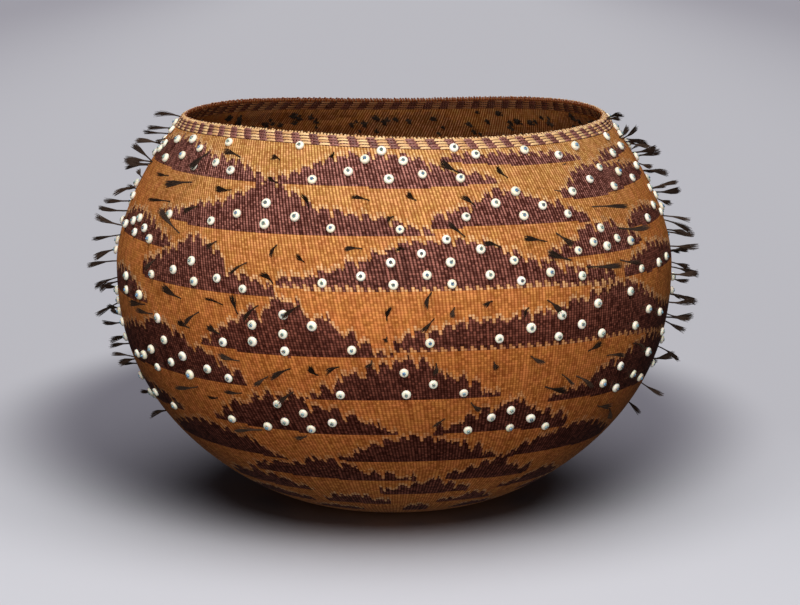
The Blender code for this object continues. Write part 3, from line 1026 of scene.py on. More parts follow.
@record
class AmberAndDarkening:
    """How amber and how dark the wall is, by azimuth in degrees and drop in millimetres."""

    # Down the wall the root is a deeper amber, partly its own colour and partly painted shade; on both of its
    # sides, away from the front lamps, the same amber is painted shade
    amber_from: float = 10
    amber_length: float = 120
    side: float = 92
    side_shade_width: float = 42
    side_shade_most: float = 0.75
    inner_amber: float = 0.22
    # The belly is darker, and the inner face takes painted shade, most at the viewer's left
    darkening_drops: Numbers = (125, 150, 200, 245, 290)
    darkening_shares: Numbers = (0, 0.20, 0.28, 0.28, 0.0)
    inner_shade: float = 0.08
    left_shade: float = 0.40
    inner_shade_most: float = 0.45

    def amber(self, azimuths: Array, drops: Array, inside: Array) -> Array:
        """How amber the root is, from 0 to 1: partly its own colour, and painted shade at the sides."""
        side_shade = np.clip(1 - np.abs(np.abs(azimuths) - self.side) / self.side_shade_width, 0, self.side_shade_most)
        return (np.clip((drops - self.amber_from) / self.amber_length + side_shade, 0, 1) * (1 - inside)
                + self.inner_amber * inside)

    def smoke(self, azimuths: Array, drops: Array, inside: Array) -> Array:
        """How dark the root is, from 0 to 1: darker on the belly, and painted shade on the inner face."""
        inner = np.clip(self.inner_shade - self.left_shade * np.sin(np.radians(azimuths)),
                        0, self.inner_shade_most)
        return np.interp(drops, self.darkening_drops, self.darkening_shares) * (1 - inside) + inner * inside


@dataclass
class TwinedRing:
    """One closed ring of the wall: twined ribs on both faces, with the pattern in its stitches."""

    name: str
    top: float
    bottom: float
    ribs: int
    course: float
    stands_for: tuple[str, ...] = ()
    rib_height: float = 0.0002
    plain_dark: bool = False
    seed: int = 1
    # How much of a stitch's tone it shares with its whole rib, and how figures show through inside
    rib_share: float = 0.3
    inner_dark: float = 0.4
    highlight_least: float = 0.65
    # The bake map's mean wall radius, and what each strip leaves free at its two ends
    mean_radius: float = 0.18
    map_margin: float = 0.02

    @property
    def courses(self) -> int:
        """How many courses fit between the ring's edges."""
        return round((self.bottom - self.top) / self.course)

    @staticmethod
    def new_tree(wall: float) -> PieceTree:
        """The tree that shapes every ring.

        Args:
            wall: the wall's thickness.

        Returns:
            The tree.
        """
        numbers = {label: "NodeSocketFloat" for label in ("Top", "Bottom", "Rib Height")}
        shape = PieceTree("twined_ring", {"Profile": "NodeSocketObject", "Ribs": "NodeSocketInt",
                                          "Courses": "NodeSocketInt", **numbers})
        whole = add(shape.tree, "GeometryNodeJoinGeometry")
        for inner in (False, True):
            shape.tree.links.new(TwinedRing.face(shape, wall, inner).outputs[0], whole.inputs[0])
        welded = add(shape.tree, "GeometryNodeMergeByDistance", {"Geometry": whole, "Distance": WELD})
        shape.close(add(shape.tree, "GeometryNodeSetShadeSmooth", {"Geometry": welded}))
        return shape

    @staticmethod
    def face(shape: PieceTree, wall: float, inner: bool) -> Node:
        """Nodes for one face of the ring; the inner one also closes the two edges.

        Args:
            shape: the tree that takes them.
            wall: the wall's thickness.
            inner: whether this is the inner face, whose ribs are lower.

        Returns:
            The node that gives the face out.
        """
        tree, ribs, courses = shape.tree, shape["Ribs"], shape["Courses"]
        rows = (courses * 0.5).join("CEIL") + 2.0 if inner else courses
        grid = add(tree, "GeometryNodeMeshGrid", {"Size X": 1.0, "Size Y": 1.0, "Vertices Y": rows + 1.0,
                                                  "Vertices X": ribs * 2.0 + 1.0})
        spot = add(tree, "ShaderNodeSeparateXYZ", {0: add(tree, "GeometryNodeInputPosition")})
        round_share = Term(tree, spot.outputs["X"]) + 0.5
        down_share = Term(tree, spot.outputs["Y"]).less_from(0.5)
        ridge = (round_share * ribs * 2.0).join("ROUND").join("PINGPONG", 1.0)
        relief = (ridge - 0.5) * shape["Rib Height"]
        share, out = down_share, relief
        if inner:
            row = (down_share * rows).join("ROUND")
            share = (row - 1.0).join("DIVIDE", rows - 2.0).within(0.0, 1.0)
            edge = (row - rows * 0.5).join("ABSOLUTE").join("GREATER_THAN", rows * 0.5 - 0.5)
            out = edge * relief + edge.less_from(1.0) * ((relief * 0.7 + wall) * -1.0)
        level = shape["Top"] + share * (shape["Bottom"] - shape["Top"])
        azimuth, drop = Drift().place((round_share - 0.5) * 360.0, level)
        line = add(tree, "GeometryNodeObjectInfo", {"Object": shape["Profile"]}).outputs["Geometry"]
        sample = add(tree, "GeometryNodeSampleCurve", {"Curves": line, "Length": drop}, mode="LENGTH")
        at, along = ([Term(tree, socket) for socket in add(tree, "ShaderNodeSeparateXYZ", {0: end}).outputs]
                     for end in (sample.outputs["Position"], sample.outputs["Tangent"]))
        radius, height = at[0] - out * along[2], at[2] + out * along[0]
        turn = azimuth * (math.pi / 180)
        place = add(tree, "ShaderNodeCombineXYZ", {"X": radius * turn.join("SINE"), "Z": height,
                                                   "Y": radius * turn.join("COSINE") * -1.0})
        stitch = add(tree, "ShaderNodeCombineXYZ", {"X": round_share * ribs, "Y": down_share * courses})
        marked = shape.store(grid.outputs["Mesh"], "stitch", stitch, "CORNER", "FLOAT2")
        for label, value in (("azimuth", azimuth), ("drop", drop), ("inside", float(inner))):
            marked = shape.store(marked, label, value)
        shaped = add(tree, "GeometryNodeSetPosition", {"Geometry": marked, "Position": place})
        return add(tree, "GeometryNodeFlipFaces", {"Mesh": shaped}) if inner else shaped

    def build(self, shape: PieceTree, body: BasketBody, line: Object, pattern: Pattern,
              finish: Material) -> None:
        """Make the ring.

        Args:
            shape: the tree that shapes it.
            body: the basket's turned shape.
            line: the outer face's line.
            pattern: the figures on it.
            finish: its material.
        """
        piece = shape.build(self.name, bpy.data.meshes.new(self.name), {
            "Profile": line, "Ribs": self.ribs, "Courses": self.courses, "Top": self.top,
            "Bottom": self.bottom, "Rib Height": self.rib_height, "Finish": finish})
        mesh = piece.data
        means = face_means(mesh, corner_map(mesh, "stitch"))
        ribs, courses = np.floor(means[:, 0]).astype(int), np.floor(means[:, 1]).astype(int)
        inside, drops, azimuths = kept(mesh, "inside"), kept(mesh, "drop") / MM, kept(mesh, "azimuth")
        rng = np.random.default_rng(self.seed)
        tones = rng.uniform(-1, 1, (self.ribs, self.courses + 1))
        lines = rng.uniform(-1, 1, self.ribs)
        own = 1 - self.rib_share
        tone = own * tones[ribs % self.ribs, courses] + self.rib_share * lines[ribs % self.ribs]
        # Another rib's tones serve as the draws for the figures' ragged edges
        dark, pale = pattern.stitches(azimuths, drops, ribs, tones[(ribs * 7) % self.ribs, courses])
        keep(mesh, "dark", np.maximum(dark * (1 - (1 - self.inner_dark) * inside), float(self.plain_dark)))
        # The pale share is a painted highlight on light outer stitches next to a dark edge
        keep(mesh, "pale", pale * (self.highlight_least + (1 - self.highlight_least) * tone) * (1 - inside))
        keep(mesh, "tone", tone)
        # The amber share is partly the root's own deeper amber and partly painted shade at the sides
        keep(mesh, "amber", AmberAndDarkening().amber(azimuths, drops, inside))
        # The darkening share is darker on the belly, and painted shade on the inner face
        keep(mesh, "age", AmberAndDarkening().smoke(azimuths, drops, inside))
        mesh.set_sharp_from_angle(angle=WALL_CREASE)
        self.lay_bake_map(mesh, inside)
        body.settle(piece)
        hand_on(piece, self.stands_for)

    def lay_bake_map(self, mesh: Mesh, inside: Array) -> None:
        """Cut the ring into strips and stack them, so that a square map wastes little.

        Args:
            mesh: the ring's mesh.
            inside: which faces are on the inner face, whose strips are half as high.
        """
        spots = corner_map(mesh, "stitch") / (self.ribs, self.courses)
        across = 2 * math.pi * self.mean_radius
        strips = max(1, round(math.sqrt(across / (1.5 * (self.bottom - self.top)))))
        strip = np.floor(face_means(mesh, spots)[:, 0] * strips)
        counts = read(mesh.polygons, "loop_total", kind=np.int32)
        strip, side = np.repeat(strip, counts), np.repeat(inside, counts)
        share = self.map_margin + (1 - 2 * self.map_margin) * spots[:, 1]
        rows = np.where(side > 0.5, strips + 0.5 * (strip + share), strip + share) * (1 / (1.5 * strips))
        places = np.stack((spots[:, 0] * strips - strip, rows), axis=-1)
        mesh.uv_layers.new(name="OFBake").data.foreach_set("uv", places.astype(np.float32).ravel())


class Solid:
    """Closed shapes gathered into one mesh."""

    def __init__(self) -> None:
        """Start with nothing."""
        self.corners: list[Vector] = []
        self.faces: list[tuple[int, ...]] = []

    def sweep(self, path: Sequence[Vector], half_widths: Sequence[float], half_depths: Sequence[float],
              sides: int, across: Vector) -> None:
        """Add a closed tube with an oval section.

        Args:
            path: the middle line's points.
            half_widths: half the section's width at each point.
            half_depths: half its depth at each point.
            sides: how many sides the section has.
            across: the direction of the section's width.
        """
        first, final = len(self.corners), len(path) - 1
        for place, (point, wide, deep) in enumerate(zip(path, half_widths, half_depths)):
            along = (path[min(place + 1, final)] - path[max(place - 1, 0)]).normalized()
            depth = along.cross(across).normalized()
            width = depth.cross(along)
            for side in range(sides):
                turn = 2 * math.pi * side / sides
                self.corners.append(point + width * wide * math.cos(turn) + depth * deep * math.sin(turn))
        for low in range(first, first + final * sides, sides):
            self.faces += [(low + side, low + (side + 1) % sides, low + sides + (side + 1) % sides,
                            low + sides + side) for side in range(sides)]
        last = first + final * sides
        self.faces += [tuple(range(first, first + sides))[::-1], tuple(range(last, last + sides))]

    def turn(self, outline: Sequence[Span], sides: int) -> None:
        """Add a ring by turning a closed outline round Z.

        Args:
            outline: radius and height of the outline's corners.
            sides: how many steps it is turned in.
        """
        first, count = len(self.corners), len(outline)
        for side in range(sides):
            angle = 2 * math.pi * side / sides
            self.corners += [Vector((radius * math.cos(angle), radius * math.sin(angle), height))
                             for radius, height in outline]
        for side in range(sides):
            low, high = first + side * count, first + (side + 1) % sides * count
            self.faces += [(low + place, high + place, high + (place + 1) % count, low + (place + 1) % count)
                           for place in range(count)]

    def item(self, name: str) -> Object:
        """The gathered shapes as one object with smooth faces that point outwards.

        Args:
            name: the object's name.

        Returns:
            The object.
        """
        mesh = bpy.data.meshes.new(name)
        mesh.from_pydata(self.corners, [], self.faces)
        work = bmesh.new()
        work.from_mesh(mesh)
        bmesh.ops.recalc_face_normals(work, faces=work.faces)
        work.to_mesh(mesh)
        work.free()
        mesh.shade_smooth()
        mesh.set_sharp_from_angle(angle=SHAPE_CREASE)
        return bpy.data.objects.new(name, mesh)


def gather(points: Array, aims: Array, sides: Array, stretches: Array, rng: Draws,
           kinds: int = 1, darks: Array | float = 0.0) -> Mesh:
    """Keep places on the wall as loose points, with what the copies on them take.

    Args:
        points: the places.
        aims: where each copy's Z axis points.
        sides: where each copy's X axis points.
        stretches: each copy's scale along its own axes.
        rng: the source of random draws, for tones and kinds.
        kinds: how many shapes there are to draw from.
        darks: how dark each copy is dyed.

    Returns:
        The loose points.
    """
    count = len(points)
    mesh = bpy.data.meshes.new("places")
    mesh.from_pydata(points.tolist(), [], [])
    for label, values in (("aim", aims), ("side", sides), ("stretch", stretches)):
        layer = mesh.attributes.new(label, "FLOAT_VECTOR", "POINT")
        layer.data.foreach_set("vector", np.ascontiguousarray(values, np.float32).ravel())
    keep(mesh, "tone", rng.uniform(-1, 1, count), "POINT")
    layer = mesh.attributes.new("pick", "INT", "POINT")
    layer.data.foreach_set("value", rng.integers(0, kinds, count).astype(np.int32))
    keep(mesh, "dark", np.zeros(count) + darks, "POINT")
    return mesh


class RowTree(PieceTree):
    """Tree that sets a copy of a shape on every one of some places."""

    def __init__(self) -> None:
        """Build the tree."""
        super().__init__("row_on_wall", {"Shapes": "NodeSocketCollection"})
        tree = self.tree
        aim, side, stretch = (self.named(label, "FLOAT_VECTOR") for label in ("aim", "side", "stretch"))
        points = add(tree, "GeometryNodeMeshToPoints", {"Mesh": self.start.outputs["Geometry"]})
        upright = add(tree, "FunctionNodeAlignRotationToVector", {"Vector": aim}, axis="Z")
        turned = add(tree, "FunctionNodeAlignRotationToVector", {"Rotation": upright, "Vector": side},
                     axis="X", pivot_axis="Z")
        shapes = add(tree, "GeometryNodeCollectionInfo", {
            "Collection": self["Shapes"], "Separate Children": True, "Reset Children": True})
        self.close(add(tree, "GeometryNodeInstanceOnPoints", {
            "Points": points, "Instance": shapes, "Pick Instance": True, "Rotation": turned, "Scale": stretch,
            "Instance Index": self.named("pick", "INT")}))

    def spread(self, name: str, places: Mesh, shapes: Sequence[Object], finish: Material) -> Object:
        """Set shapes on places.

        Args:
            name: the piece's name.
            places: the places.
            shapes: the shapes to draw from.
            finish: the piece's material.

        Returns:
            The piece.
        """
        holder = bpy.data.collections.new(name + "_shapes")
        for shape in shapes:
            holder.objects.link(shape)
        piece = self.build(name, places, {"Shapes": holder, "Finish": finish})
        bpy.data.collections.remove(holder)
        return piece


@dataclass
class RimEdge:
    """The stitched binding that laps over the rim's rod, a slanting stitch at a time."""

    stitches: int = 410
    stands_for: tuple[str, ...] = ("rim_binding",)
    rod_drop: float = 0.0024
    lap_radius: float = 0.0014
    leg: float = 0.0004
    slant: float = 0.0018
    half_width: float = 0.00080
    half_depth: float = 0.00035
    # Shares of the width and depth along a stitch, from its outer end over the rod to its inner one
    widths: Numbers = (0.5, 0.95, 0.95, 0.65, 0.95, 0.95, 0.5)
    depths: Numbers = (0.6, 1.0, 1.1, 1.2, 1.1, 1.0, 0.6)
    # How many degrees a stitch strays, and how far every first and second one reaches
    stray: float = 0.12
    reaches: Span = (1.15, 1.50)
    seed: int = 7

    def shape(self) -> Object:
        """One stitch: up the outer face, over the rod and down the inner face.

        Returns:
            The stitch.
        """
        turns = [math.radians(step) for step in range(0, 181, 45)]
        arch = [(self.lap_radius * math.cos(turn), self.lap_radius * math.sin(turn)) for turn in turns]
        line = [(self.lap_radius, -self.leg), *arch, (-self.lap_radius, -self.leg)]
        path = [Vector((self.slant * (0.5 - place / (len(line) - 1)), up, out))
                for place, (out, up) in enumerate(line)]
        solid = Solid()
        solid.sweep(path, [self.half_width * share for share in self.widths],
                    [self.half_depth * share for share in self.depths], 6, RIGHT)
        return solid.item("rim_stitch")

    def build(self, tree: RowTree, body: BasketBody, finish: Material) -> None:
        """Lap stitches over the whole rim.

        Args:
            tree: the tree that spreads them.
            body: the basket's turned shape.
            finish: their material.
        """
        rng = np.random.default_rng(self.seed)
        index = np.arange(self.stitches)
        azimuths = index * 360 / self.stitches + rng.uniform(-self.stray, self.stray, self.stitches)
        points, aims, sides = body.places(azimuths, np.full(self.stitches, self.rod_drop), -body.wall / 2)
        reaches = np.take(self.reaches, index % 2) * rng.uniform(0.85, 1.15, self.stitches)
        widths = rng.uniform(0.85, 1.05, self.stitches)
        stretches = np.stack((widths, reaches, np.ones(self.stitches)), axis=-1)
        places = gather(points, aims, sides, stretches, rng)
        piece = tree.spread("rim_stitches", places, [self.shape()], finish)
        mark_inward(piece.data)
        hand_on(piece, self.stands_for)


@dataclass
class CheckBand:
    """The checked band below the rim: slanting blocks of four flat strands, plain and dyed by turns."""

    blocks: int = 74
    strands: int = 4
    top: float = 0.0022
    pitch: float = 0.0021
    dark_share: float = 0.46
    shift: float = 0.40
    first: float = -3.3
    stands_for: tuple[str, ...] = ("check_band",)
    # A strand's stations: how far along it they are, how high over the wall, and a share of its width
    stations: Table = (
        (-0.5, -0.00045, 0.5), (-0.40, 0.00015, 0.95), (-0.15, 0.00045, 1.0), (0.15, 0.00045, 1.0),
        (0.40, 0.00015, 0.95), (0.5, -0.00045, 0.5))
    half_width: float = 0.00080
    half_depth: float = 0.0003
    # How many degrees and metres a strand strays
    stray: float = 0.1
    drop_stray: float = 0.0001
    # How much wider the wall is at the band than at the rim
    radius_gain: float = 0.004
    # Inside, the dyed strands are a little less dark, and faces that look inwards take a painted shade
    inner_dark: float = 0.9
    inner_strand_shade: float = 0.8
    seed: int = 11

    def shape(self) -> Object:
        """One flat strand, 1 long, tucked into the wall at both ends.

        Returns:
            The strand.
        """
        path = [Vector((along, 0, out)) for along, out, _ in self.stations]
        widths = [self.half_width * wide for *_, wide in self.stations]
        solid = Solid()
        solid.sweep(path, widths, [self.half_depth] * len(path), 6, BACK)
        return solid.item("flat_strand")

    def build(self, tree: RowTree, body: BasketBody, finish: Material) -> None:
        """Lay the strands on the outer and inner face.

        Args:
            tree: the tree that spreads them.
            body: the basket's turned shape.
            finish: their material.
        """
        rng = np.random.default_rng(self.seed)
        step = 360 / self.blocks
        count = 2 * self.blocks * self.strands
        index = np.arange(count)
        row, block, dyed = index // (2 * self.blocks), index // 2 % self.blocks, index % 2
        share = np.where(dyed, self.dark_share, 1 - self.dark_share)
        azimuths = (self.first + (block + 0.5 * dyed) * step + row * self.shift
                    + rng.uniform(-self.stray, self.stray, count))
        drops = (self.top + (row + 0.5) * self.pitch
                 + rng.uniform(-self.drop_stray, self.drop_stray, count))
        lengths = (np.radians(step * share) * (body.rim_radius + self.radius_gain)
                   * rng.uniform(1.0, 1.12, count))
        stretches = np.stack((lengths, rng.uniform(0.85, 1.05, count), np.ones(count)), axis=-1)
        outer, inner = (body.places(azimuths, drops, out) for out in (0.0, -body.wall))
        points, aims, sides = (np.concatenate(pair) for pair in zip(outer, (inner[0], -inner[1], inner[2])))
        darks = np.concatenate((dyed, self.inner_dark * dyed))
        both = gather(points, aims, sides, np.tile(stretches, (2, 1)), rng, darks=darks)
        piece = tree.spread("check_band_strands", both, [self.shape()], finish)
        mark_inward(piece.data, self.inner_strand_shade)
        hand_on(piece, self.stands_for)


@dataclass
class ShellBeads:
    """Clam shell discs, each held by a glass seed bead and a stitch of thread."""

    radius: float = 0.0031
    thickness: float = 0.0025
    hole: float = 0.0008
    clearance: float = 0.0003
    glass_radius: float = 0.00120
    glass_bore: float = 0.00035
    glass_height: float = 0.0013
    glass_sunk: float = 0.0005
    thread_radius: float = 0.0002
    # How far the aims of beads stray, and how much their sizes differ
    aim_stray: float = 0.06
    size_spread: float = 0.045
    seed: int = 21
    # Each zone's name, lowest drop in millimetres and number of bead rows in the CAD
    zones: tuple[tuple[str, float, int], ...] = (
        ("neck", 50, 3), ("shoulder", 95, 4), ("upper_belly", 118, 2), ("belly", 177, 3),
        ("lower_belly", 400, 4))
    # Azimuth in degrees and drop in millimetres of the beads of one half
    beads: Spots = (
        (-76, 24), (-67.5, 18), (-67.5, 33), (-58.5, 15), (-59, 28), (-53, 20.5), (-51.5, 34), (-43.5, 13),
        (-44.5, 29), (-39, 33.5), (-22.8, 12), (-17.8, 36.5), (-10, 29.5), (-6.5, 20), (-2.8, 13), (2.2, 20),
        (-1, 34), (6.3, 30), (14.5, 9.5), (19.5, 15), (14.7, 33), (32.8, 12.5), (42.2, 18), (49.6, 12),
        (64.5, 23.5), (67.5, 11), (73, 22), (48.5, 39), (54.5, 31), (61.5, 37.5), (41.5, 46.5), (56.3, 47),
        (67.8, 45.5), (76, 40), (26.6, 44), (21.5, 52), (32.3, 55), (14.6, 61), (27.2, 61.5), (38, 62.5),
        (-53, 70), (-39.5, 70), (-33.3, 63.5), (-27, 55), (-26.3, 69), (-20, 63), (-12.3, 69.5), (1.3, 69),
        (-75, 86), (-69, 81), (-65.5, 77.5), (-61.5, 83), (-66, 88), (-57.7, 89), (46, 75), (42.8, 84),
        (38.3, 88.5), (46.4, 88), (50.3, 84), (54.8, 87.5), (65.8, 76), (79, 78), (10.2, 76), (5.3, 85),
        (16.8, 83), (-0.5, 91), (10.7, 91), (23.3, 91.5), (-42.3, 98), (-47.2, 105.5), (-54.5, 111.5),
        (-41, 111), (-35.3, 107), (-29.2, 112), (-6, 100), (6.2, 99), (18.2, 100), (30.8, 101), (-13.2, 105),
        (0, 105), (10.8, 105), (24.4, 105), (38.3, 105.5), (57, 108), (65.7, 108), (72, 107), (-67.2, 118.7),
        (-59.9, 128.1), (-67.4, 128.5), (52.4, 121.6), (42.3, 125.3), (-20.7, 126.6), (-15.1, 132.9),
        (-27.2, 135), (-20.9, 139.5), (-27.3, 146), (-34.2, 149), (-20.7, 151), (-7.7, 148), (6.7, 143),
        (20, 142), (26.5, 136.5), (33.2, 130), (38.2, 138), (32.7, 144), (43.9, 146.3), (55.1, 146.6),
        (60.5, 137.8), (67.5, 143.8), (74, 162), (-52.8, 140.6), (-51.5, 155.2), (-57.6, 165),
        (-62.4, 171.9), (-67.2, 174), (-79, 169), (-57, 177.9), (-50.5, 170.6), (-46, 163.8), (-44.9, 176.6),
        (-39.3, 169.8), (-34.2, 174.4), (2, 163.1), (7.6, 171.6), (-10.3, 179.6), (2.5, 178.8),
        (13.7, 178.8), (52.5, 174.4), (64.8, 171.3), (78, 189), (47.7, 184.6), (60, 185), (53.8, 191.9),
        (66.3, 191.9), (-23.9, 190), (-18.5, 195.9), (-12.6, 202.1), (-17.5, 208.8), (-23.1, 204),
        (-27.6, 209.6), (-36.8, 207.8), (-57.6, 209.4), (-66, 203.8), (-74, 209), (24.4, 195), (20.3, 199.6),
        (15.7, 209.1), (25.3, 210), (29.8, 203.5), (34.7, 213.1), (-84, 9), (-80, 14), (-84, 34), (-78, 29),
        (-86, 60), (-80, 67), (-86, 88), (-86, 103), (-82, 108), (-86, 139), (-84, 145), (-84, 153),
        (-76, 156), (-80, 200), (-78, 213), (-84, 220), (84, 12), (82, 17), (86, 26), (84, 37), (78, 59),
        (82, 67), (73, 70), (86, 78), (84, 128), (84, 138), (82, 173),
    )

    def shapes(self) -> dict[str, Object]:
        """The disc, the seed bead and the thread's stitch, standing on the wall.

        Returns:
            Each shape by its part's name.
        """
        thick, wide, hole = self.thickness, self.radius, self.hole
        disc, glass, thread = Solid(), Solid(), Solid()
        # Up the disc's rounded edge, over its flat top and down its bore
        disc.turn(((hole, self.clearance), (wide * 0.92, self.clearance), (wide, thick * 0.28),
                   (wide * 0.99, thick * 0.55), (wide * 0.90, thick * 0.80), (wide * 0.74, thick * 0.95),
                   (hole * 1.6, thick), (hole, thick * 0.93)), 20)
        half_wall, low = (self.glass_radius - self.glass_bore) / 2, thick - self.glass_sunk
        turns = [math.radians(step) for step in range(0, 360, 45)]
        glass.turn([(self.glass_bore + half_wall * (1 + math.cos(turn)),
                     low + self.glass_height / 2 * (1 + math.sin(turn))) for turn in turns], 12)
        # The thread comes out of the wall, through both beads, and bends back down beside the glass
        top = low + self.glass_height
        loop = [Vector((0, *spot)) for spot in (
            (0, -0.002), (0, top - 0.0002), (0.0008, top - 0.0001), (0.0015, thick + 0.0004),
            (0.0018, thick - 0.0004))]
        gauge = [self.thread_radius] * len(loop)
        thread.sweep(loop, gauge, gauge, 5, RIGHT)
        return {"shell_discs": disc.item("disc"), "glass_seeds": glass.item("glass_seed"),
                "sewing_threads": thread.item("thread_stitch")}

    def build(self, tree: RowTree, body: BasketBody, finishes: dict[str, Material]) -> None:
        """Sew the beads on, zone by zone.

        Args:
            tree: the tree that spreads them.
            body: the basket's turned shape.
            finishes: the material of each of the three pieces.
        """
        rng = np.random.default_rng(self.seed)
        spots = np.array(self.beads)
        spots[:, 1] += slip(*spots.T)
        spots = np.concatenate((spots, spots + (180, 0)))
        above = 0.0
        for zone, below, rows in self.zones:
            chosen = spots[(spots[:, 1] > above) & (spots[:, 1] <= below)]
            above = below
            count = len(chosen)
            points, aims, sides = body.places(chosen[:, 0], chosen[:, 1] * MM)
            aims = aims + rng.normal(0, self.aim_stray, aims.shape)
            spins = rng.uniform(0, 2 * math.pi, (count, 1))
            spun = sides * np.cos(spins) + np.cross(aims, sides) * np.sin(spins)
            size = np.repeat(rng.normal(1, self.size_spread, (count, 1)), 3, axis=1)
            size[:, 2] *= rng.uniform(0.85, 1.1, count)
            row = gather(points, aims, spun, size, rng)
            stands_for = [f"beads_{zone}_{place}_{side}" for place in range(1, rows + 1)
                          for side in ("front", "back")]
            for part, shape in self.shapes().items():
                piece = tree.spread(f"{part}_{zone}", row, [shape], finishes[part])
                hand_on(piece,
                        stands_for if part == "shell_discs" else ())


@dataclass
class Plumes:
    """Quail topknot plumes whose quills are caught between the courses."""

    length: float = 0.0225
    sunk: float = 0.0015
    fan: float = 0.0026
    curl: float = 0.0032
    bend: float = 0.0042
    kinds: int = 6
    # The quill: how far along its stations are, and half its width and depth there
    quill_steps: Numbers = (0, 0.2, 0.4, 0.6, 0.8, 0.95)
    quill_widths: Numbers = (0.0005, 0.0006, 0.0006, 0.0005, 0.0004, 0.0001)
    quill_depths: Numbers = (0.0005, 0.0005, 0.0005, 0.0004, 0.0003, 0.0001)
    # The barbs, drawn coarser than a real plume's so that they show: how many there are, the quill's bare
    # share, where the middle one can leave it, and half their width and depth
    barbs: int = 38
    bare: float = 0.10
    fork: float = 0.65
    barb_steps: Numbers = (0.0, 0.35, 0.7, 1.0)
    barb_widths: Numbers = (0.00015, 0.00019, 0.00018, 0.00008)
    barb_depths: Numbers = (0.00013, 0.00014, 0.00013, 0.00007)
    # How fast the brush opens, how round and ragged its end is, and how far a barb droops out of its plane
    opening: float = 0.8
    parting: float = 1.5
    blunt: float = 0.05
    ragged: float = 0.14
    droop: float = 0.0006
    # Shares of the length that show in front and at the outline, and how far brushes turn
    front_reach: float = 0.92
    edge_reach: float = 0.9
    turn_spread: float = 0.5
    # A plume that points at the viewer, by this share of its length or more, is folded a little
    end_on: float = 0.8
    folded: float = 0.9
    # Tips beyond this depth are looked at from behind
    back_line: float = 0.05
    edge_azimuth: float = 86.0
    seed: int = 31
    rows: Numbers = (39, 64, 87, 107, 137, 171, 200, 400)
    # Where each front plume shows its tip, then its root, by azimuth in degrees and drop in millimetres
    marks: Table = (
        (-46, 15, -38, 23), (-30, 17, -27, 23), (-56, 34, -49, 22), (-68, 47, -61, 44), (-62, 49, -50, 45),
        (-41, 51, -37, 47), (-29, 37, -26, 40), (-15, 17, -14, 20), (-8.5, 46, -5, 49), (2.5, 47, 4.7, 48.5),
        (-18, 48, -17.5, 56), (-2, 62, 0, 60), (10, 21, 15, 29), (23, 28, 26, 33), (35, 30, 43, 25),
        (31, 41, 38, 45), (15, 45, 17, 53), (11, 65, 14, 74), (-68, 64, -55, 61), (-50, 66, -45, 61),
        (-60, 70, -48, 81), (65, 64, 46, 59), (-40, 88, -37, 83), (-25, 87, -23, 82), (-18.5, 90, -17, 92),
        (-10, 80, -6, 82), (0.5, 80, 2, 82), (18, 75, 21, 82), (26, 75, 31, 80), (38, 86, 34, 75),
        (65, 87, 52, 77), (-33, 101, -29, 95), (-25, 98, -23, 107), (-58, 108, -54, 101), (5, 118, 7, 110),
        (31, 90, 36, 94), (53, 106, 40, 100), (58, 108, 50, 99), (-52, 122, -45, 124), (-39, 120, -34, 124),
        (-33, 117, -30.5, 129), (-1.5, 122, -1.2, 128), (10, 126, 11.3, 120), (5.5, 135, 7.5, 127),
        (17, 118, 18.5, 117), (24.5, 125, 26, 123), (-30, 130, -26, 122), (-45.5, 139, -40, 131),
        (-48, 142, -43, 143), (-39.5, 141, -35, 144), (-21, 126, -17.5, 120), (-36, 163, -31, 161),
        (-24, 168, -20, 163), (-17, 166, -14.5, 166.5), (-12.5, 161, -10.3, 160), (-29, 178, -25, 170),
        (-36, 189, -32, 185), (-53, 196, -44, 186), (-41, 195, -39, 192), (-23.5, 187, -20, 180),
        (-38, 219, -30, 215), (-21.5, 223, -19, 216), (-1.3, 145, -1.2, 139), (-4, 161, -4, 155),
        (8.7, 162, 8, 157), (19.6, 164, 19.3, 158), (29, 162, 27, 156), (9, 203, 10.5, 199),
        (17.5, 198, 15.5, 187), (45, 155, 41, 158), (52, 164, 47, 164), (34, 126, 30, 119),
        (38, 178, 35, 172), (45, 182, 39, 175), (38, 190, 31.5, 180), (58, 215, 50, 205), (68, 230, 57, 212),
        (-66, 138, -58, 134), (-62, 143, -55, 139), (62, 163, 56, 160), (60.5, 24, 75, 20), (56, 36, 66, 30),
    )
    # Plumes on the left and right outline: root drop, then how far the tip is out and up, in millimetres
    left: Table = (
        (5, 17, 7), (12, 20, 2), (19, 19, 2), (22, 8, -1), (28, 18, 6), (40, 14, 14), (40, 20, 4),
        (42, 20, -2), (47, 18, 1), (54, 8, 4), (62, 16, 0), (66, 7, 0), (74, 19, 0), (79, 21, -1),
        (91, 21, 3), (96, 21, -3), (107, 18, -3), (116, 22, 0), (126, 19, -5), (134, 15, -1), (138, 8, -1),
        (147, 19, -10), (152, 8, 0), (158, 14, 1), (163, 14, -2), (176, 13, 2), (179, 15, -2), (186, 16, 2),
        (192, 12, 3), (196, 18, -1), (204, 8, 4), (219, 10, 0), (234, 14, -3),
    )
    right: Table = (
        (4, 7, 3), (5, 6, 7), (19, 10, 2), (22, 13, 3), (24, 17, 1), (25, 7, 3), (27, 18, -1), (32, 6, 3),
        (35, 16, 2), (39, 19, 2), (44, 7, -2), (51, 20, 1), (51, 9, -5), (63, 19, 6), (63, 12, -1),
        (67, 20, -2), (72, 11, -4), (83, 19, 0), (88, 22, -5), (94, 14, -2), (99, 22, -4), (105, 21, -1),
        (109, 16, 0), (113, 11, 1), (118, 10, -1), (120, 21, -3), (125, 17, -1), (131, 11, -3), (141, 7, -2),
        (140, 21, -3), (146, 17, -1), (156, 13, -3), (161, 23, -2), (162, 13, -6), (177, 18, -8),
        (192, 16, 4), (199, 12, 0), (209, 17, -13), (228, 13, -7),
    )

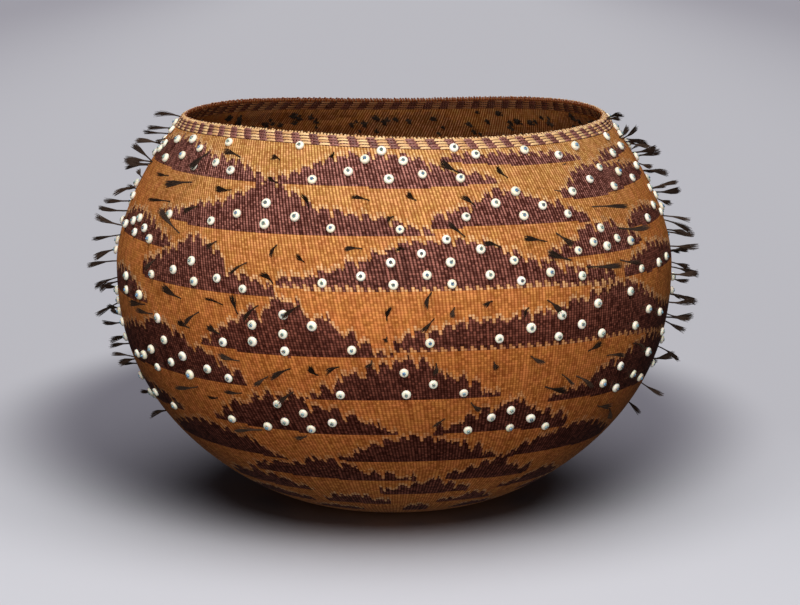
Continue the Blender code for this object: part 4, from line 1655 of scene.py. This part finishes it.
    def shape(self, kind: int, rng: Draws) -> Object:
        """One plume along Z: a bare quill that opens into a brush of barbs.

        Args:
            kind: which of the kinds this is; they bend left and right by turns.
            rng: the source of random draws.

        Returns:
            The plume.
        """
        curl = self.curl * rng.uniform(-0.8, 0.8)
        bend = self.bend * (-1) ** kind * rng.uniform(0.3, 1.2)
        fan = self.fan * rng.uniform(0.7, 1.15)

        def line(share: float, aside: float = 0.0, droop: float = 0.0) -> Vector:
            """A point at a share of the plume's length, moved aside and forwards."""
            return Vector((aside + bend * share ** 2, curl * share ** 2 + droop,
                           -self.sunk + (self.length + self.sunk) * share))

        solid = Solid()
        solid.sweep([line(share) for share in self.quill_steps], self.quill_widths, self.quill_depths,
                    5, RIGHT)
        for barb in range(self.barbs):
            # Barbs leave the quill one after the other and open like a brush with a ragged, blunt end
            aside = 2 * (barb + 0.5) / self.barbs - 1
            start = self.bare + (self.fork - self.bare) * (1 - abs(aside)) * rng.uniform(0.6, 1.0)
            end = 1.0 - self.blunt * aside ** 2 - rng.uniform(0, self.ragged)
            droop = rng.normal(0, self.droop)
            path = []
            for step in self.barb_steps:
                share = start + (end - start) * step
                opened = ((share - self.bare) / (1 - self.bare)) ** self.opening
                wide = opened * min(1.0, self.parting * step)
                path.append(line(share, aside * fan * wide, droop * step))
            solid.sweep(path, self.barb_widths, self.barb_depths, 3, RIGHT)
        return solid.item(f"plume_{kind}")

    def front_row(self, body: BasketBody, eye: Array) -> tuple[Array, Array]:
        """Roots and tips of the plumes that stand out of the front, in space.

        Args:
            body: the basket's turned shape.
            eye: where the viewer stands.

        Returns:
            The roots and the tips.
        """
        marks = np.array(self.marks)
        marks[:, 1] += slip(marks[:, 0], marks[:, 1])
        marks[:, 3] += slip(marks[:, 2], marks[:, 3])
        seen = body.places(marks[:, 0], marks[:, 1] * MM)[0]
        roots = body.places(marks[:, 2], marks[:, 3] * MM)[0]
        back = eye - seen
        back /= np.linalg.norm(back, axis=1, keepdims=True)
        # The tip is on the line from its mark to the viewer, as far out as the plume's length lets it be
        gap = seen - roots
        along = np.sum(gap * back, axis=1)
        left = along ** 2 - np.sum(gap ** 2, axis=1) + (self.front_reach * self.length) ** 2
        tips = seen + back * (np.sqrt(np.clip(left, 0, None)) - along)[:, None]
        return roots, tips

    def edge_row(self, body: BasketBody, rng: Draws) -> tuple[Array, Array]:
        """Roots and tips of the plumes on both outlines.

        Args:
            body: the basket's turned shape.
            rng: the source of random draws.

        Returns:
            The roots and the tips.
        """
        roots, tips = [], []
        for side, marks in ((-1, self.left), (1, self.right)):
            drops, outs, ups = np.array(marks).T * MM
            azimuths = side * (self.edge_azimuth + rng.uniform(-7, 5, len(marks)))
            points = body.places(azimuths, drops)[0]
            depths = np.sqrt(np.clip((self.edge_reach * self.length) ** 2 - outs ** 2 - ups ** 2, 0, None))
            roots.append(points)
            depths *= rng.choice([-1, 1], len(marks))
            tips.append(points + np.stack((side * outs, depths, ups), axis=-1))
        return np.concatenate(roots), np.concatenate(tips)

    def build(self, tree: RowTree, body: BasketBody, eye: Array, finish: Material) -> None:
        """Set every plume, course by course.

        Args:
            tree: the tree that spreads them.
            body: the basket's turned shape.
            eye: where the viewer stands.
            finish: their material.
        """
        rng = np.random.default_rng(self.seed)
        roots, tips = self.front_row(body, eye)
        half_turn = np.array((-1, -1, 1))
        edge_roots, edge_tips = self.edge_row(body, rng)
        roots = np.concatenate((roots, roots * half_turn, edge_roots))
        tips = np.concatenate((tips, tips * half_turn, edge_tips))
        azimuths = np.degrees(np.arctan2(roots[:, 0], -roots[:, 1]))
        levels = roots[:, 2] - body.lift(azimuths, roots[:, 2])
        lengths, _, heights = (line[:body.samples] for line in body.outline)
        drops = np.interp(-levels, -heights, lengths) / MM
        above = 0.0
        for course, below in enumerate(self.rows, start=1):
            chosen = (drops > above) & (drops <= below)
            above = below
            spans = tips[chosen] - roots[chosen]
            lengths = np.linalg.norm(spans, axis=1, keepdims=True)
            # Most brushes open flat towards whoever looks at their side of the basket
            turns = rng.normal(0, self.turn_spread, (len(spans), 1))
            viewers = np.where(tips[chosen][:, 1:2] > self.back_line, eye * half_turn, eye)
            sides = np.cross(spans, viewers - tips[chosen])
            sides /= np.linalg.norm(sides, axis=1, keepdims=True)
            ups = np.cross(spans / lengths, sides)
            sides = sides * np.cos(turns) + ups * np.sin(turns)
            stretches = np.ones((len(spans), 3)) * rng.uniform(0.85, 1.1, (len(spans), 1))
            stretches[:, :2] *= np.where(np.abs(spans[:, 1:2]) > self.end_on * lengths, self.folded, 1.0)
            stretches[:, 2] = np.clip(lengths[:, 0] / self.length, 0.75, 1.1)
            row = gather(roots[chosen], spans, sides, stretches, rng, self.kinds)
            shapes = [self.shape(kind, rng) for kind in range(self.kinds)]
            piece = tree.spread(f"plumes_course_{course}", row, shapes, finish)
            hand_on(piece, (f"plume_course_{course}",))


@dataclass
class InsideEnds:
    """Quill ends and thread knots that show on the inner face."""

    rows: Numbers = (17, 22, 27, 33, 41, 52, 63, 80, 97, 118, 140, 160, 186, 210)
    around: int = 44
    kinds: int = 4
    # A knot's slivers start inside the wall and stray as they run out, in metres
    slivers: int = 9
    sunk: float = 0.0008
    reaches: Numbers = (0.0008, 0.0016, 0.0025)
    stray: float = 0.0005
    widths: Numbers = (0.0005, 0.0007, 0.0006, 0.0003)
    depths: Numbers = (0.0003, 0.0003, 0.00025, 0.0001)
    # How far knots lie from their row, in millimetres
    row_spread: float = 2.0
    seed: int = 41

    def shapes(self, rng: Draws) -> list[Object]:
        """Knots of bent slivers that lie near the wall.

        Args:
            rng: the source of random draws.

        Returns:
            The kinds of knot.
        """
        kinds = []
        for kind in range(self.kinds):
            solid = Solid()
            for _ in range(self.slivers):
                bend = [Vector((0, 0, -self.sunk))]
                way = Vector((rng.uniform(-1, 1), rng.uniform(-1, 1), 0)).normalized()
                for reach in self.reaches:
                    strays = Vector((rng.normal(0, self.stray), rng.normal(0, self.stray),
                                     rng.uniform(0.0002, 0.0010)))
                    bend.append(way * reach + strays)
                solid.sweep(bend, self.widths, self.depths, 4, Vector((0.3, 0.2, 1)))
            kinds.append(solid.item(f"quill_end_{kind}"))
        return kinds

    def build(self, tree: RowTree, body: BasketBody, finish: Material) -> None:
        """Scatter the ends over the inner face, a course at a time.

        Args:
            tree: the tree that spreads them.
            body: the basket's turned shape.
            finish: their material.
        """
        rng = np.random.default_rng(self.seed)
        count = len(self.rows) * self.around
        drops = np.repeat(self.rows, self.around) + rng.normal(0, self.row_spread, count)
        points, aims, sides = body.places(rng.uniform(0, 360, count), drops * MM, -body.wall)
        sizes = np.ones((count, 3)) * rng.uniform(0.7, 1.5, (count, 1))
        row = gather(points, -aims, sides, sizes, rng, self.kinds)
        hand_on(tree.spread("quill_ends_inside", row, self.shapes(rng), finish), ())


@dataclass
class StartKnot:
    """The crossed warps at the middle of the underside, which close the start."""

    radius: float = 0.0075
    warps: int = 6
    height: float = 0.003
    crimp: float = 0.0005
    fill: float = 0.46
    half_depth: float = 0.0007
    # How much painted shade the knot takes, as a face that looks inwards would
    stain: float = 0.8

    def build(self, finish: Material) -> None:
        """Cross flat warps over and under each other.

        Args:
            finish: their material.
        """
        solid = Solid()
        gauge = 2 * self.radius / self.warps
        for way in range(2):
            for warp in range(self.warps):
                middle = -self.radius + (warp + 0.5) * gauge
                path = []
                for step in range(self.warps + 1):
                    along = -self.radius + step * gauge
                    weave = self.crimp * (1 if (step + warp + way) % 2 else -1)
                    spot = (along, middle) if way else (middle, along)
                    path.append(Vector((*spot, self.height / 2 + weave)))
                solid.sweep(path, [gauge * self.fill] * len(path), [self.half_depth] * len(path), 6,
                            BACK if way else RIGHT)
        knot = solid.item("start_crossed_warps")
        bpy.context.scene.collection.objects.link(knot)
        knot.data.materials.append(finish)
        for label, value in (("tone", 0.0), ("dark", 0.0), ("inside", self.stain)):
            keep(knot.data, label, np.full(len(knot.data.polygons), value))
        hand_on(knot, ())


class Lit(Enum):
    """What a lamp lights: everything but the floor, or the floor alone."""

    BASKET = "EXCLUDE"
    FLOOR = "INCLUDE"


@record
class Lamp:
    """A broad studio lamp: endlessly far off, or a disc at a distance from the basket's middle."""

    name: str
    strength: float
    azimuth: float
    elevation: float
    spread: float
    lit: Lit
    colour: str = "#FFFFFF"
    distance: float = 0.0
    middle: Numbers = (0.0, 0.0, 0.17)

    def build(self, floor: Object) -> None:
        """Hang the lamp, and tie its light to the floor or to all the rest.

        Args:
            floor: the studio's floor.
        """
        angle = math.radians(self.spread)
        light = bpy.data.lights.new(self.name, "AREA" if self.distance else "SUN")
        light.color = linear(self.colour)[:3]
        if self.distance:
            light.shape = "DISK"
            light.size = 2 * self.distance * math.tan(angle / 2)
            light.energy = self.strength * math.pi * self.distance ** 2
        else:
            light.angle = angle
            light.energy = self.strength
        item = placed(self.name, light)
        turn, rise = math.radians(self.azimuth), math.radians(self.elevation)
        towards = Vector((math.sin(turn) * math.cos(rise), -math.cos(turn) * math.cos(rise), math.sin(rise)))
        item.location = Vector(self.middle) + towards * self.distance
        item.rotation_euler = towards.to_track_quat("Z", "Y").to_euler()
        tied = bpy.data.collections.new(self.name + "_tied")
        tied.objects.link(floor)
        item.light_linking.receiver_collection = tied
        tied.collection_objects[0].light_linking.link_state = self.lit.value


@dataclass
class Studio:
    """Camera, lamps and floor."""

    eye: Numbers = (0.0042, -1.6, 0.4086)
    tilt: float = 9.58
    lens: float = 100.17
    sensor: float = 36.0
    sight: float = 100.0
    floor_radius: float = 16.0
    floor_sides: int = 64
    floor_drop: float = 0.0008
    air: str = "#D5D9E0"
    air_strength: float = 0.085
    lamps: tuple[Lamp, ...] = (
        Lamp("overhead", 3.08, 20, 78, 70, Lit.FLOOR),
        Lamp("top", 2.60, -8, 62, 40, Lit.BASKET, "#FFFAF2"),
        Lamp("front", 1.92, 0, 12, 30, Lit.BASKET, "#FFFAF2", 1.15),
        Lamp("back", 1.0, 178, 25, 30, Lit.BASKET, "#FFFAF2"),
    )

    def build(self) -> None:
        """Set up everything that isn't the basket."""
        self.set_camera()
        self.set_air()
        floor = self.lay_floor()
        for lamp in self.lamps:
            lamp.build(floor)

    def set_camera(self) -> None:
        """Stand the camera where the photo was taken."""
        camera = bpy.data.cameras.new("camera")
        camera.sensor_fit = "HORIZONTAL"
        camera.sensor_width = self.sensor
        camera.lens = self.lens
        camera.clip_end = self.sight
        item = placed("camera", camera)
        item.location = self.eye
        item.rotation_euler = (math.radians(90 - self.tilt), 0.0, 0.0)
        bpy.context.scene.camera = item

    def set_air(self) -> None:
        """Give the studio its dim, even light, and the picture its plain tones."""
        world = bpy.data.worlds.new("studio_air")
        world.use_nodes = True
        sky = world.node_tree.nodes["Background"]
        feed(world.node_tree, sky, {"Color": self.air, "Strength": self.air_strength})
        bpy.context.scene.world = world
        bpy.context.scene.view_settings.view_transform = "Standard"

    def lay_floor(self) -> Object:
        """The round floor, just under the basket, which throws no light back on it.

        Returns:
            The floor.
        """
        mesh = bpy.data.meshes.new("floor")
        work = bmesh.new()
        bmesh.ops.create_circle(work, cap_ends=True, radius=self.floor_radius, segments=self.floor_sides)
        bmesh.ops.translate(work, vec=(0, 0, -self.floor_drop), verts=work.verts)
        work.to_mesh(mesh)
        work.free()
        mesh.materials.append(StudioPaper().material())
        floor = placed("floor", mesh)
        floor.visible_diffuse = False
        floor.visible_glossy = False
        return floor


@dataclass
class Basket:
    """The whole basket, piece by piece from the rim to the start."""

    body: BasketBody = field(default_factory=BasketBody)
    pattern: Pattern = field(default_factory=Pattern)
    rings: tuple[TwinedRing, ...] = (
        TwinedRing("band_warps", 0.0030, 0.0106, 528, 0.00165, ("check_band",), plain_dark=True, seed=50),
        TwinedRing("wall_neck", 0.0107, 0.0500, 536, 0.00143, ("woven_courses_1", "woven_courses_2"),
                   seed=51),
        TwinedRing("wall_shoulder", 0.0500, 0.1180, 536, 0.00150,
                   ("woven_courses_3", "woven_courses_4", "woven_courses_5"), seed=52),
        TwinedRing("wall_belly", 0.1180, 0.1860, 536, 0.00160, ("woven_courses_6", "woven_courses_7"),
                   seed=53),
        TwinedRing("wall_lower_belly", 0.1860, 0.2500, 420, 0.00160, ("woven_courses_8",), seed=54),
        TwinedRing("wall_underbelly", 0.2500, 0.3100, 340, 0.00160, ("woven_courses_9",), seed=55),
        TwinedRing("wall_foot", 0.3100, 0.3650, 220, 0.00150, ("woven_courses_9",), seed=56),
        TwinedRing("start_weave", 0.3650, 0.4125, 90, 0.00160, ("start_disc",), seed=57),
    )

    def build(self, eye: Numbers, frame: dict[str, object]) -> None:
        """Make and dress every piece.

        Args:
            eye: where the viewer stands.
            frame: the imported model.
        """
        line = self.body.guide()
        shape = TwinedRing.new_tree(self.body.wall)
        weave, strand, plume = TwinedRoot().material(), PeeledStrand().material(), QuailPlume().material()
        for ring in self.rings:
            ring.build(shape, self.body, line, self.pattern, weave)
        bpy.data.objects.remove(line)
        rows = RowTree()
        CheckBand().build(rows, self.body, strand)
        RimEdge().build(rows, self.body, strand)
        self.dress_rod(frame["nodes"]["rim_rod"],
                       PeeledStrand("peeled_willow_rod", pale="#8E6240", gold="#5C3820").material())
        ShellBeads().build(rows, self.body, {"shell_discs": ClamShell().material(),
                                             "glass_seeds": TradeGlass().material(),
                                             "sewing_threads": PlantCord().material()})
        Plumes().build(rows, self.body, np.array(eye), plume)
        InsideEnds().build(rows, self.body, plume)
        StartKnot().build(strand)

    @staticmethod
    def dress_rod(rod: Object, finish: Material) -> None:
        """Give the rim's rod, which is the CAD node, its peeled wood.

        Args:
            rod: the CAD node.
            finish: its material.
        """
        for slot in rod.material_slots:
            slot.material = finish
        LOG.info("%s: kept from the packed model", rod.name)


def main() -> None:
    """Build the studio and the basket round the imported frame."""
    logging.basicConfig(level=logging.INFO, format="%(name)s: %(message)s")
    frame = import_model()
    studio = Studio()
    studio.build()
    Basket().build(studio.eye, frame)


if __name__ == "__main__":
    main()
